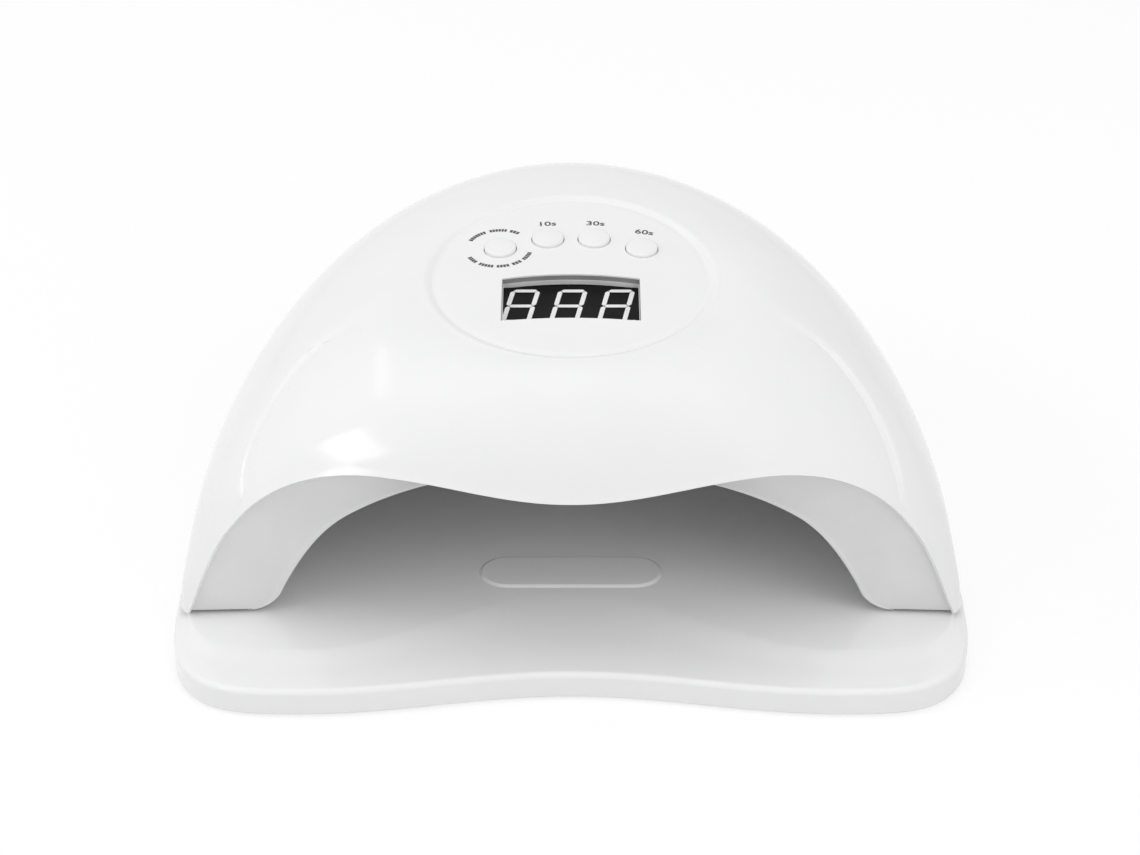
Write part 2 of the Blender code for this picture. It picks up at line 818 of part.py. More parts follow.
def make_liner():
    turns = arch_turns()
    rows = band_rows()
    for station in cavity_stations:
        rows.append([cavity_point(turn, station) for turn in turns])
    bm = bmesh.new()
    grid = add_grid(bm, rows, closed=False)
    last_height = cavity_height * cavity_scale(cavity_stations[-1])
    add_fan(bm, grid[-1], (0, cavity_rear_y, base_z + last_height / 3), closed=False)
    liner = finish(bm, "inner_liner", grey_plastic)
    solidify(liner, liner_wall, -1)
    boolean(liner, rim_plate(), "UNION")
    boolean(liner, bead_holes())
    boolean(liner, rim_holes())


def rim_plate():
    """The flat rim under the lamp, between the shell's wall and the cavity."""
    outer, inner = [], []
    distance = wall + gap + hole_gap / 2
    for angle, lean in rim_meridians():
        if lean > 0:
            continue
        normal = dome_normal(angle, 0.0)
        edge = plain_dome_point(angle, 0.0) - Vector((normal.x, normal.y, 0)).normalized() * distance
        edge.y = max(edge.y, cavity_front_y + liner_wall / 2)
        outer.append((edge.x, edge.y, base_z))
        x, y = cavity_edge_toward(edge.x, edge.y)
        inner.append((x, max(y, cavity_front_y + liner_wall / 2), base_z))
    bm = bmesh.new()
    add_grid(bm, [outer, inner], closed=False)
    plate = finish(bm, "rim_plate", None)
    solidify(plate, rim_thickness, 1)
    return plate


def bead_turns(strip):
    count, first = strip["beads"], strip["first"]
    return [first + (math.pi - 2 * first) * i / (count - 1) for i in range(count)]


def bead_spans(strip, low, high):
    place_share = strip["place"]
    return [
        (off_cavity(turn, place_share, low), off_cavity(turn, place_share, high)) for turn in bead_turns(strip)
    ]


def bead_holes():
    bm = bmesh.new()
    for strip in (*strips.values(), sensor_strip):
        for start, end in bead_spans(strip, -liner_wall, 2 * liner_wall):
            add_cylinder(bm, bead_radius + hole_gap, start, end, 8)
    return finish(bm, "bead_holes", None)


def rim_holes():
    """Screw holes with counterbores, and pockets for the lamp's magnets."""
    bm = bmesh.new()
    for angle in case_screw_angles:
        x, y, _ = case_boss_place(angle)
        add_cylinder(bm, screw_shank_radius + hole_gap, (x, y, base_z - wall), (x, y, rim_top + wall), 10)
    holes = finish(bm, "rim_holes", None)
    bores = []
    for angle in case_screw_angles:
        x, y, _ = case_boss_place(angle)
        bores.append(((x, y, base_z - wall), (x, y, base_z + screw_head_height + 2 * gap)))
    boolean(holes, cylinders("head_bores", None, screw_head_radius + hole_gap, bores, 14), "UNION")
    pockets = [((x, y, base_z + magnet_skin), (x, y, rim_top + wall)) for x, y in magnet_places]
    boolean(holes, cylinders("magnet_pockets", None, magnet_radius + hole_gap, pockets, 16), "UNION")
    return holes


# ---- Lamp boards ------------------------------------------------------------------------------
def make_strip(name, strip, bead_color):
    """A flexible board that follows the liner, with its beads standing through the liner's holes."""
    under = liner_wall + 2 * gap
    turns = bead_turns(strip)
    margin = (turns[1] - turns[0]) * 0.35
    first, last = turns[0] - margin, turns[-1] + margin
    count = strip["beads"] + 5
    along = [first + (last - first) * i / count for i in range(count + 1)]
    share = strip["width"] / (cavity_rear_y - cavity_front_y)
    rows = []
    for k in range(strip_side_steps):
        place_share = strip["place"] + share * (k / (strip_side_steps - 1) - 0.5)
        rows.append([off_cavity(turn, place_share, under) for turn in along])
    bm = bmesh.new()
    add_grid(bm, rows, closed=False)
    board = finish(bm, name, bead_color)
    solidify(board, strip_thickness, -1)
    spans = bead_spans(strip, -bead_reach, under + strip_thickness / 2)
    boolean(board, cylinders(f"{name}_beads", None, bead_radius, spans, 8), "UNION")


# ---- Controls ---------------------------------------------------------------------------------
def make_buttons():
    for i, (p, q) in enumerate(button_places, 1):
        face = face_height(p)
        flange_top = -wall - flange_play
        flange_bottom = flange_top - flange_thickness
        r = button_radius - gap
        profile = [(0, button_crown)]
        profile += [(r * 0.55, button_crown * 0.9), (r * 0.88, button_crown * 0.62), (r, button_crown * 0.3)]
        profile += [(r, flange_top), (flange_radius, flange_top), (flange_radius, flange_bottom)]
        profile += [(stem_radius, flange_bottom), (stem_radius, -stem_end), (0, -stem_end)]
        turned(f"button_cap_{i}", white_plastic, profile, panel, (p, q, face))
        make_switch(i, p, q, face)


def make_switch(i, p, q, face):
    board_top = -board_top_depth - panel_step
    top = board_top + gap + switch_height
    half = switch_size / 2
    low = (p - half, q - half, board_top + gap)
    body = box(f"tact_switch_{i}", black_plastic, low, (p + half, q + half, top), panel)
    plunger_top = face - stem_end - gap
    plunger_bottom = plunger_top - plunger_length
    spans = [((p, q, plunger_bottom - button_travel - 2 * gap), (p, q, top + wall))]
    boolean(body, cylinders(f"switch_bore_{i}", None, plunger_radius + hole_gap, spans, 16, panel))
    profile = [(0, plunger_length), (plunger_radius, plunger_length), (plunger_radius, 0), (0, 0)]
    turned(f"switch_plunger_{i}", metal, profile, panel, (p, q, plunger_bottom), 16)


def make_board():
    """The control board and what is soldered to it."""
    top = -board_top_depth - panel_step
    bottom = top - board_thickness
    half_width, half_depth = board_width / 2, board_depth / 2
    low, high = (-half_width, board_q - half_depth, bottom), (half_width, board_q + half_depth, top)
    board = box("control_board", board_green, low, high, panel)
    radius = board_screw_shank_radius + hole_gap
    spans = [((p, q, bottom - wall), (p, q, top + wall)) for p, q in board_screw_places]
    boolean(board, cylinders("board_holes", None, radius, spans, 10, panel))
    half_width, half_depth = display_width / 2, display_depth / 2
    low = (-half_width, display_q - half_depth, top + gap)
    high = (half_width, display_q + half_depth, -panel_step - display_sink)
    box("display_module", black_plastic, low, high, panel)
    under = bottom - gap
    low = (-chip_width / 2, -chip_depth / 2, under - chip_height)
    box("controller_chip", black_plastic, low, (chip_width / 2, chip_depth / 2, under), panel)
    hang_under("buzzer", black_plastic, under)
    hang_under("capacitor", metal, under)
    make_board_screws(under)


def hang_under(name, material, under):
    """A round piece under the board, with a chamfer at its lower end."""
    radius, height = board_parts[name]["radius"], board_parts[name]["height"]
    p, q = board_parts[name]["place"]
    chamfer = radius / 10
    profile = [(0, height), (radius, height), (radius, chamfer), (radius - chamfer, 0), (0, 0)]
    turned(name, material, profile, panel, (p, q, under - height), 16)


def screw_profile(head_radius, head_height, shank_radius, length):
    """Head down, shank up. The drive recess is in the head's underside."""
    return [
        (0, length + head_height),
        (shank_radius * 0.6, length + head_height),
        (shank_radius, length + head_height * 0.6),
        (shank_radius, head_height),
        (head_radius, head_height),
        (head_radius, head_height * 0.3),
        (head_radius * 0.85, 0),
        (head_radius * 0.4, 0),
        (0, head_height * 0.5),
    ]


def make_board_screws(under):
    length = board_top_depth - wall + board_thickness - 4 * gap
    profile = screw_profile(board_screw_head_radius, screw_head_height, board_screw_shank_radius, length)
    for i, (p, q) in enumerate(board_screw_places, 1):
        low = under - screw_head_height
        turned(f"board_screw_{i}", metal, profile, panel, (p, q, low), 10)


def make_case_screws():
    profile = screw_profile(screw_head_radius, screw_head_height, screw_shank_radius, screw_length)
    for i, angle in enumerate(case_screw_angles, 1):
        x, y, _ = case_boss_place(angle)
        turned(f"case_screw_{i}", metal, profile, location=(x, y, base_z + gap), steps=10)


# ---- Inlet and wiring -------------------------------------------------------------------------
def jack_z():
    return rim_top + gap + jack_height / 2


def jack_face_y():
    top = jack_z() + jack_height / 2
    return plain_dome_point(quarter, lean_at_height(quarter, top)).y - wall - jack_setback


def make_jack():
    z, face = jack_z(), jack_face_y()
    low = (-jack_width / 2, face - jack_length, z - jack_height / 2)
    jack = box("dc_jack", black_plastic, low, (jack_width / 2, face, z + jack_height / 2))
    nose_end = plain_dome_point(quarter, lean_at_height(quarter, z)).y - wall / 4
    nose = cylinders("jack_nose", None, jack_nose_radius, [((0, face - wall, z), (0, nose_end, z))])
    boolean(jack, nose, "UNION")
    floor = nose_end - jack_socket_depth
    socket = cylinders("jack_socket", None, jack_socket_radius, [((0, floor, z), (0, nose_end + wall, z))])
    boolean(jack, socket)
    pin = [((0, floor - wall, z), (0, nose_end - wall, z))]
    boolean(jack, cylinders("jack_pin", None, jack_pin_radius, pin, 16), "UNION")


def make_lead(name, material, points):
    curve = bpy.data.curves.new(name, "CURVE")
    curve.dimensions = "3D"
    curve.bevel_depth = lead_radius
    curve.bevel_resolution = 2
    curve.use_fill_caps = True
    spline = curve.splines.new("POLY")
    spline.points.add(len(points) - 1)
    for target, point in zip(spline.points, points):
        target.co = (*point, 1.0)
    curve.materials.append(material)
    obj = bpy.data.objects.new(name, curve)
    parts.objects.link(obj)


def smooth_route(route, steps):
    """Points on a smooth curve through the route's own points."""
    ends = [2 * route[0] - route[1], *route, 2 * route[-1] - route[-2]]
    points = []
    for a, b, c, d in zip(ends, ends[1:], ends[2:], ends[3:]):
        for k in range(steps):
            t = k / steps
            bend = (2 * a - 5 * b + 4 * c - d) * t * t + (3 * b - a - 3 * c + d) * t**3
            points.append(b + ((c - a) * t + bend) / 2)
    points.append(route[-1])
    return points


def hanging_curve(start, start_way, end, end_way, slack, steps=10):
    """A cubic curve that leaves its start and its end along the given ways."""
    second, third = start + start_way * slack, end + end_way * slack
    points = []
    for k in range(steps + 1):
        t = k / steps
        ends = start * (1 - t) ** 3 + end * t**3
        points.append(ends + 3 * t * (1 - t) * (second * (1 - t) + third * t))
    return points


def make_leads():
    under = -board_bottom_depth - panel_step - 2 * gap - lead_radius / 6
    z = jack_z()
    rear = jack_face_y() - jack_length - gap
    power = [Vector((0, rear, z)) + Vector(point) for point in power_lead_route]
    p, q = power_lead_place
    power += [panel_to_world(p, q, under - 4 * lead_radius), panel_to_world(p, q, under)]
    make_lead("power_lead", black_plastic, smooth_route(power, 3))
    lift = liner_wall + 2 * gap + strip_thickness + gap
    for i, (name, (p, q, turn)) in enumerate(led_lead_places.items(), 1):
        end = off_cavity(turn, strips[name]["place"], lift)
        away = cavity_normal(turn, strips[name]["place"])
        start = panel_to_world(p, q, under)
        down = (panel_to_world(p, q, under - 1) - start).normalized()
        slack = (end - start).length * 0.4
        make_lead(f"led_lead_{i}", red_plastic, hanging_curve(start, down, end, away, slack))


# ---- Build ------------------------------------------------------------------------------------
clear_scene()
parts = new_collection("uv_curing_lamp")
cutters = new_collection("cutters")
white_plastic = make_material("white_plastic", (0.86, 0.86, 0.86), 0.22)
grey_plastic = make_material("grey_plastic", (0.66, 0.66, 0.66), 0.35)
black_plastic = make_material("black_plastic", (0.02, 0.02, 0.02), 0.4)
red_plastic = make_material("red_plastic", (0.5, 0.03, 0.02), 0.45)
board_green = make_material("board_green", (0.02, 0.15, 0.06), 0.5)
strip_white = make_material("strip_white", (0.8, 0.8, 0.76), 0.45)
rubber = make_material("rubber", (0.05, 0.05, 0.05), 0.8)
metal = make_material("metal", (0.72, 0.72, 0.74), 0.3, 1.0)
steel = make_material("magnet_steel", (0.55, 0.56, 0.58), 0.35, 1.0)

panel = bpy.data.objects.new("panel_frame", None)
panel.location = (0, panel_y, panel_z)
panel.rotation_euler = (panel_tilt, 0, 0)
parts.objects.link(panel)

make_tray()
make_tray_floor()
make_feet_and_screws()
make_magnets()
make_shell()
make_liner()
for strip_name, strip_values in strips.items():
    make_strip(strip_name, strip_values, strip_white)
make_strip("sensor_board", sensor_strip, black_plastic)
make_buttons()
make_board()
make_case_screws()
make_jack()
make_leads()
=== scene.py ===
import json
from math import asin, atan2, copysign, cos, degrees, exp, pi, radians, sin, sqrt, tan

import bmesh
import bpy
from mathutils import Matrix, Vector, kdtree


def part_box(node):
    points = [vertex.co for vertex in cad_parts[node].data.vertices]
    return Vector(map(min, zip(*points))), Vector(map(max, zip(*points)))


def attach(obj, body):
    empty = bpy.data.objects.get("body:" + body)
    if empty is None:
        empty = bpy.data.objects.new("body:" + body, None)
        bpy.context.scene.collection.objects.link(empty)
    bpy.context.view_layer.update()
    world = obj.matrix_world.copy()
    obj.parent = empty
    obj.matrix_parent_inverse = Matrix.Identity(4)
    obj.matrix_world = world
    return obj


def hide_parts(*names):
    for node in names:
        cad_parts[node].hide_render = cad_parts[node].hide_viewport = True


# A curing lamp: gloss white dome on a lift-off tray, round control panel, front opening for a hand.
# Metres throughout. Each piece has its settings in a dictionary beside the code that uses them.

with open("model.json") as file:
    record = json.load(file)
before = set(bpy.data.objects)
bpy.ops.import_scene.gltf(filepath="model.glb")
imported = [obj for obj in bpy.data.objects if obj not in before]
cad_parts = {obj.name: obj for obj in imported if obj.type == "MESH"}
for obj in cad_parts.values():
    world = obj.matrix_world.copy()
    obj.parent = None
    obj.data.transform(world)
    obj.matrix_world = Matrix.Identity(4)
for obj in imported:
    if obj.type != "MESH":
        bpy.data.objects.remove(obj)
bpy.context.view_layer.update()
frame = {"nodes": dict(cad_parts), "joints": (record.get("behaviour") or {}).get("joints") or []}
print("frame loaded:", len(frame["nodes"]), "nodes")

quarter = pi / 2
shellLow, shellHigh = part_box("top_shell")
trayLow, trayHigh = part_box("base_tray")
baseZ = shellLow.z  # the lamp's lower edge
fitGap = 0.0003
pressAxis = next(Vector(joint["axis"]) for joint in frame["joints"] if joint["child"] == "button_1")
panelUp = -pressAxis.normalized()
panelAlong = Vector((0, panelUp.z, -panelUp.y))
smoothAngle = radians(35)  # sharper edges than this stay crisp


def bentGrid(bm, columns, rows, place):
    # a grid whose point in column i and row k goes to place(i, k)
    made = bmesh.ops.create_grid(bm, x_segments=columns, y_segments=rows, size=0.5)["verts"]
    for vert in made:
        vert.co = place(round((vert.co.x + 0.5) * columns), round((vert.co.y + 0.5) * rows))
    return made


def weld(bm):
    bmesh.ops.remove_doubles(bm, verts=bm.verts, dist=1e-7)


def closeUp(bm):
    # joins the seams and turns every face out
    weld(bm)
    bmesh.ops.recalc_face_normals(bm, faces=bm.faces)


def tower(bm, loops):
    # a closed solid through loops of points, one above the other
    part = bmesh.new()
    count = len(loops[0])
    bentGrid(part, count, len(loops) - 1, lambda i, k: loops[k][i % count])
    weld(part)
    bmesh.ops.holes_fill(part, edges=[edge for edge in part.edges if edge.is_boundary], sides=0)
    addTo(bm, part)


def slab(bm, outline, heights, place):
    # a closed solid with one outline at all its heights
    tower(bm, [[place(a, b, height) for a, b in outline] for height in heights])


def upright(x, z, y):
    # an outline of x and z that stands at y
    return x, y, z


def turned(bm, profile, matrix, steps):
    # a profile of (radius, height) from the axis back to the axis, spun all the way round
    part = bmesh.new()
    verts = [part.verts.new((radius, 0, height)) for radius, height in profile]
    edges = [part.edges.new(pair) for pair in zip(verts, verts[1:])]
    bmesh.ops.spin(
        part, geom=verts + edges, cent=(0, 0, 0), axis=(0, 0, 1), dvec=(0, 0, 0),
        angle=2 * pi, steps=steps, use_merge=True,
    )
    addTo(bm, part, matrix)


def addTo(bm, part, matrix=Matrix()):
    # moves a closed part into bm, facing out
    closeUp(part)
    part.transform(matrix)
    holder = bpy.data.meshes.new("holder")
    part.to_mesh(holder)
    part.free()
    bm.from_mesh(holder)
    bpy.data.meshes.remove(holder)


def shade(mesh):
    mesh.shade_smooth()
    mesh.set_sharp_from_angle(angle=smoothAngle)


def addObject(name, data):
    obj = bpy.data.objects.new(name, data)
    bpy.context.scene.collection.objects.link(obj)
    return obj


def toObject(bm, name):
    mesh = bpy.data.meshes.new(name)
    bm.to_mesh(mesh)
    bm.free()
    shade(mesh)
    return addObject(name, mesh)


def stacked(name, loops):
    bm = bmesh.new()
    tower(bm, loops)
    return toObject(bm, name)


def spun(name, profile, matrix, steps):
    bm = bmesh.new()
    turned(bm, profile, matrix, steps)
    return toObject(bm, name)


def setAll(item, settings):
    for key, value in settings.items():
        setattr(item, key, value)


def finalMesh(obj):
    return bpy.data.meshes.new_from_object(obj.evaluated_get(bpy.context.evaluated_depsgraph_get()))


def modify(obj, kind, **settings):
    # makes a modifier's result the object's own mesh
    setAll(obj.modifiers.new(kind, kind), settings)
    spent, made = obj.data, finalMesh(obj)
    obj.modifiers.clear()
    obj.data = made
    made.name = obj.name
    bpy.data.meshes.remove(spent)


def roundEdges(obj, width):
    modify(obj, "BEVEL", width=width, segments=3, limit_method="ANGLE", angle_limit=radians(50))
    shade(obj.data)


def thicken(obj, thickness, edgeRound):
    # gives a skin its wall, inwards, and rounds the wall's edges
    modify(obj, "SOLIDIFY", thickness=thickness, offset=-1, use_even_offset=True)
    roundEdges(obj, edgeRound)


def combine(obj, other, operation):
    modify(obj, "BOOLEAN", operation=operation, solver="MANIFOLD", object=other)
    shade(obj.data)
    bpy.data.objects.remove(other)


def evenShading(obj):
    # large faces lead the shading, so the cuts leave no halo
    modify(obj, "WEIGHTED_NORMAL", keep_sharp=True, weight=60)


def dress(obj, finishName, replaces=(), body="lamp"):
    obj.data.materials.clear()
    obj.data.materials.append(finishes[finishName])
    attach(obj, body)
    if replaces:
        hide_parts(*replaces)


def signedPower(value, power):
    return copysign(abs(value) ** power, value)


def ease(value):
    value = min(max(value, 0.0), 1.0)
    return value * value * (3 - 2 * value)


def quarterTurns(steps):
    return [quarter * k / steps for k in range(steps + 1)]


def inset(outline, distance):
    # a closed counter-clockwise outline moved inwards
    moved = []
    for before, (x, y), after in zip(outline[-1:] + outline[:-1], outline, outline[1:] + outline[:1]):
        run = Vector((after[0] - before[0], after[1] - before[1])).normalized()
        moved.append((x - run.y * distance, y + run.x * distance))
    return moved


def circle(radius, steps, middle):
    turns = [2 * pi * i / steps for i in range(steps)]
    return [(middle[0] + radius * cos(turn), middle[1] + radius * sin(turn)) for turn in turns]


def roundedBox(width, depth, corner, middle, steps=5):
    outline = []
    for i, (sideX, sideY) in enumerate(((1, 1), (-1, 1), (-1, -1), (1, -1))):
        for k in range(steps + 1):
            turn = quarter * (i + k / steps)
            x = middle[0] + sideX * (width / 2 - corner) + corner * cos(turn)
            outline.append((x, middle[1] + sideY * (depth / 2 - corner) + corner * sin(turn)))
    return outline


def feed(tree, node, inputs):
    # links or sets the node's inputs
    for key, value in inputs.items():
        if isinstance(value, bpy.types.NodeSocket):
            tree.links.new(value, node.inputs[key])
        else:
            node.inputs[key].default_value = value
    return node


def addNode(tree, kind, inputs=None, **settings):
    made = tree.nodes.new(kind)
    setAll(made, settings)
    return feed(tree, made, inputs or {})


def spread(tree, factor, low, high):
    span = {"Value": factor, "From Min": 0.3, "From Max": 0.7, "To Min": low, "To Max": high}
    return addNode(tree, "ShaderNodeMapRange", span).outputs["Result"]


def blotches(tree, where, scale, detail, distortion=0.0):
    inputs = {"Vector": where, "Scale": scale, "Detail": detail, "Distortion": distortion}
    return addNode(tree, "ShaderNodeTexNoise", inputs).outputs["Fac"]


def twoTones(tree, factor, *tones):
    ramp = addNode(tree, "ShaderNodeValToRGB", {"Fac": factor})
    for element, place, tone in zip(ramp.color_ramp.elements, (0.35, 0.65), tones):
        element.position, element.color = place, (*tone, 1)
    return ramp.outputs["Color"]


def finish(name, color, shadeColor, toneScale, roughness, glossScale, grain, grainScale, grainDepth):
    # a solid finish: two close tones, uneven gloss and a fine surface relief
    material = bpy.data.materials.new(name)
    material.use_nodes = True
    tree = material.node_tree
    where = addNode(tree, "ShaderNodeTexCoord").outputs["Object"]
    relief = blotches(tree, where, grainScale, 2.0)
    bump = addNode(tree, "ShaderNodeBump", {"Height": relief, "Strength": grain, "Distance": grainDepth})
    feed(tree, tree.nodes["Principled BSDF"], {
        "Base Color": twoTones(tree, blotches(tree, where, toneScale, 4.0), color, shadeColor),
        "Roughness": spread(tree, blotches(tree, where, glossScale, 5.0, 0.6), *roughness),
        "Normal": bump.outputs["Normal"], **plainSurface, **surfaces.get(name, {}),
    })
    return material


looks = {
    "glossWhite": ((0.89, 0.89, 0.892), (0.878, 0.879, 0.882), 60, (0.09, 0.15), 90, 0.1, 420, 4e-5),
    "satinGrey": ((0.78, 0.78, 0.783), (0.75, 0.751, 0.755), 60, (0.34, 0.46), 50, 0.35, 2600, 4e-5),
    # a darker copy of satinGrey for the liner's faces inside the cavity: painted shade
    "cavityPaintedShade": ((0.5, 0.5, 0.503), (0.47, 0.471, 0.475), 60, (0.34, 0.46), 50, 0.35, 2600, 4e-5),
    # dark grey for the upper wall of the display's opening: painted shade
    "liningPaintedShade": ((0.3, 0.3, 0.302), (0.27, 0.271, 0.273), 160, (0.4, 0.5), 150, 0.3, 2600, 4e-5),
    "blackMoulding": ((0.018, 0.018, 0.019), (0.028, 0.028, 0.03), 60, (0.38, 0.55), 120, 0.5, 3200, 4e-5),
    "displayFace": ((0.006, 0.006, 0.007), (0.009, 0.009, 0.01), 90, (0.3, 0.42), 160, 0.2, 3000, 3e-5),
    "segmentResin": ((0.86, 0.86, 0.85), (0.8, 0.8, 0.79), 300, (0.35, 0.5), 300, 0.15, 2500, 3e-5),
    "greyPrint": ((0.05, 0.05, 0.052), (0.09, 0.09, 0.092), 2200, (0.45, 0.6), 900, 0.2, 3000, 2e-5),
    "redWire": ((0.45, 0.03, 0.02), (0.38, 0.022, 0.016), 80, (0.38, 0.5), 160, 0.2, 1500, 3e-5),
    "greenBoard": ((0.015, 0.13, 0.05), (0.03, 0.2, 0.085), 420, (0.3, 0.45), 220, 0.4, 1400, 5e-5),
    "whiteBoard": ((0.8, 0.8, 0.77), (0.74, 0.74, 0.71), 240, (0.35, 0.5), 200, 0.3, 1800, 4e-5),
    "footRubber": ((0.035, 0.035, 0.036), (0.06, 0.06, 0.061), 180, (0.72, 0.9), 220, 0.7, 3400, 6e-5),
    "platedSteel": ((0.62, 0.62, 0.63), (0.5, 0.5, 0.51), 260, (0.29, 0.42), 500, 0.3, 2600, 3e-5),
    "nickelPlate": ((0.56, 0.55, 0.53), (0.48, 0.47, 0.46), 160, (0.14, 0.25), 300, 0.2, 2000, 3e-5),
    "lampPhosphor": ((0.72, 0.6, 0.22), (0.64, 0.5, 0.16), 900, (0.4, 0.55), 700, 0.3, 3000, 4e-5),
}
plainSurface = {"Metallic": 0.0, "Specular IOR Level": 0.5, "Coat Weight": 0.0, "Coat Roughness": 0.08}
surfaces = {
    "displayFace": {"Specular IOR Level": 0.06}, "greenBoard": {"Coat Weight": 0.4},
    "platedSteel": {"Metallic": 1.0}, "nickelPlate": {"Metallic": 1.0},
}
finishes = {name: finish(name, *look) for name, look in looks.items()}
print("finishes made:", len(finishes))


dome = {
    "outlinePower": 1.9, "widestY": -0.0505, "frontReach": 0.038, "frontPower": 2.8,
    "sideBulge": 1.95, "rearBulge": 2.2, "frontBulge": 2.0, "bulgeBlend": 1.5,
    "wall": 0.0022, "lipWall": 0.0008, "lipWallReach": 0.003, "wallBlend": 0.007,
    "rows": 72, "rowPower": 1.15, "splitRows": 3, "splitParts": 9, "innerRows": 22,
    "rearColumns": 96, "sideColumns": 10, "edgeRound": 0.0003, "lipFlare": 0.0002, "flareReach": 0.0025,
    "footLift": 0.0005, "footReach": 0.012, "footHeight": 0.004, "cornerReach": 0.0024,
    "cornerAngle": radians(14.5), "cornerFade": radians(10), "cornerTop": radians(23),
}
crease = {  # angles are from the dome's side, leans in degrees
    "depth": 0.0014, "width": radians(3.2), "fade": radians(16),
    "foot": radians(29), "top": radians(9), "bendLean": 30, "bendSpan": 32, "bendPower": 1.2,
    "fadeLean": 50, "fadeSpan": 30, "lipShare": 0.25, "lipReach": 0.014,
    "followShare": 0.15, "leaveShare": 0.66, "leaveSpan": 0.28,
}
panel = {
    "middle": Vector((0, -0.0186, 0.0872)), "radius": 0.039, "sag": 0.0013,
    "step": 0.0006, "stepWidth": 0.002, "stepZone": 0.005, "stepRows": 20, "fieldRows": 22,
    "groove": 0.00022, "grooveWidth": 0.001, "bead": 0.00018, "beadWidth": 0.0007, "beadOffset": 0.0006,
    "innerRings": (0.93, 0.7, 0.4, 0.0),
}


def panelPoint(p, q, height):
    return panel["middle"] + Vector((p, 0, 0)) + q * panelAlong + height * panelUp


def panelFace(p):
    return -panel["sag"] * (p / panel["radius"]) ** 2


def onPanel(p, q, height):
    # height is over the panel's finished face
    return panelPoint(p, q, panelFace(p) - panel["step"] + height)


def ringRelief(inwards, angle):
    # the step down into the panel, with a faint bead outside it and a faint groove inside
    bead = panel["bead"] * exp(-((inwards + panel["beadOffset"]) / panel["beadWidth"]) ** 2)
    bead *= min(1.0, 1 - sin(angle))  # it ends behind
    groove = panel["groove"] * exp(-((inwards - panel["stepWidth"]) / panel["grooveWidth"]) ** 2)
    return panel["step"] * ease(inwards / panel["stepWidth"]) + groove - bead


def fromSide(angle):
    # how far round a front meridian lies from the dome's side
    return min(abs(angle), abs(pi - abs(angle)))


def cornerBulge(angle, lean):
    # the base keeps its full width forward to the lip's foot
    beyond = (fromSide(angle) - dome["cornerAngle"]) / dome["cornerFade"]
    bulge = ease(fromSide(angle) / dome["cornerAngle"]) * (1 - ease(beyond))
    return dome["cornerReach"] * bulge * (1 - ease(lean / dome["cornerTop"]))


def domePoint(angle, lean):
    across, along = cos(angle), sin(angle)
    behind = along >= 0
    power = dome["outlinePower"] if behind else dome["frontPower"]
    reach = shellHigh.y - dome["widestY"] if behind else dome["frontReach"]
    baseX = shellHigh.x * signedPower(across, 2 / power)
    baseY = dome["widestY"] + reach * signedPower(along, 2 / power)
    if not behind:
        baseX += copysign(cornerBulge(angle, lean), across)
    p, q = panel["radius"] * across, panel["radius"] * along
    ring = panelPoint(p, q, panelFace(p))
    blend = abs(along) ** dome["bulgeBlend"]
    farBulge = dome["rearBulge"] if behind else dome["frontBulge"]
    bulge = dome["sideBulge"] * (1 - blend) + farBulge * blend
    out = max(0.0, cos(lean)) ** (2 / bulge)
    up = sin(lean) ** (2 / bulge)
    z = baseZ + (ring.z - baseZ) * up
    return Vector((ring.x + (baseX - ring.x) * out, ring.y + (baseY - ring.y) * out, z))


def normalAt(place, a, b):
    # a surface's normal, from four points close by
    step = 0.002
    first = place(a + step, b) - place(a - step, b)
    return first.cross(place(a, b + step) - place(a, b - step)).normalized()


def domeNormal(angle, lean):
    return normalAt(domePoint, angle, min(max(lean, 0.004), quarter - 0.004))


def creaseAngle(lean):
    # how far from the side the flank's crease runs at this height
    share = min(max((degrees(lean) - crease["bendLean"]) / crease["bendSpan"], 0.0), 1.0)
    return crease["top"] + (creaseFoot - crease["top"]) * (1 - share) ** crease["bendPower"]


def frontRelief(angle, lean, fromLip=0.0):
    # the front field lies lower than the flank at the crease and meets the plain dome further in
    if sin(angle) >= 0:
        return 0.0
    inwards = fromSide(angle) - creaseAngle(lean)
    drop = max(0.0, 1 + inwards / crease["width"]) ** 2
    if inwards > 0:
        drop = exp(-inwards / crease["fade"])
    fade = 1 - ease((degrees(lean) - crease["fadeLean"]) / crease["fadeSpan"])
    lipFade = crease["lipShare"] + (1 - crease["lipShare"]) * ease(fromLip / crease["lipReach"])
    return crease["depth"] * drop * fade * lipFade


def followCrease(angle, lean, amount):
    # bends the front columns so that one of them runs along the crease
    if sin(angle) >= 0:
        return angle
    side, bend = fromSide(angle), creaseAngle(lean)
    wanted = side * bend / creaseFoot
    if side > creaseFoot:
        wanted = quarter - (quarter - side) * (quarter - bend) / (quarter - creaseFoot)
    moved = (wanted - side) * amount
    return angle + moved if cos(angle) < 0 else angle - moved


def raiseFoot(point, footY):
    # the rim's front ends stand a little clear of the tray
    near = 1 - ease((point.y - footY) / dome["footReach"])
    point.z += dome["footLift"] * near * (1 - ease((point.z - baseZ) / dome["footHeight"]))
    return point


lip = {
    "footX": shellHigh.x - 0.0015, "slant": 0.0285, "archX": 0.05, "archZ": 0.0588, "middleZ": 0.0537,
    "inset": 0.0005, "setback": 0.0008, "archShare": 0.643, "archPower": 1.25, "columns": 120,
}


def lipPlace(share):
    # x and z along the lip's right half, from the foot to the middle
    archX, archZ, archShare = lip["archX"], lip["archZ"], lip["archShare"]
    if share <= archShare:
        turn = quarter * (share / archShare) ** lip["archPower"]
        x = archX + (lip["footX"] - archX) * cos(turn)
        x -= lip["slant"] * turn / quarter * (1 - turn / quarter) ** 3
        return x, baseZ + (archZ - baseZ) * sin(turn)
    x = archX * (1 - share) / (1 - archShare)
    return x, archZ + (lip["middleZ"] - archZ) * (0.5 + 0.5 * cos(pi * x / archX))


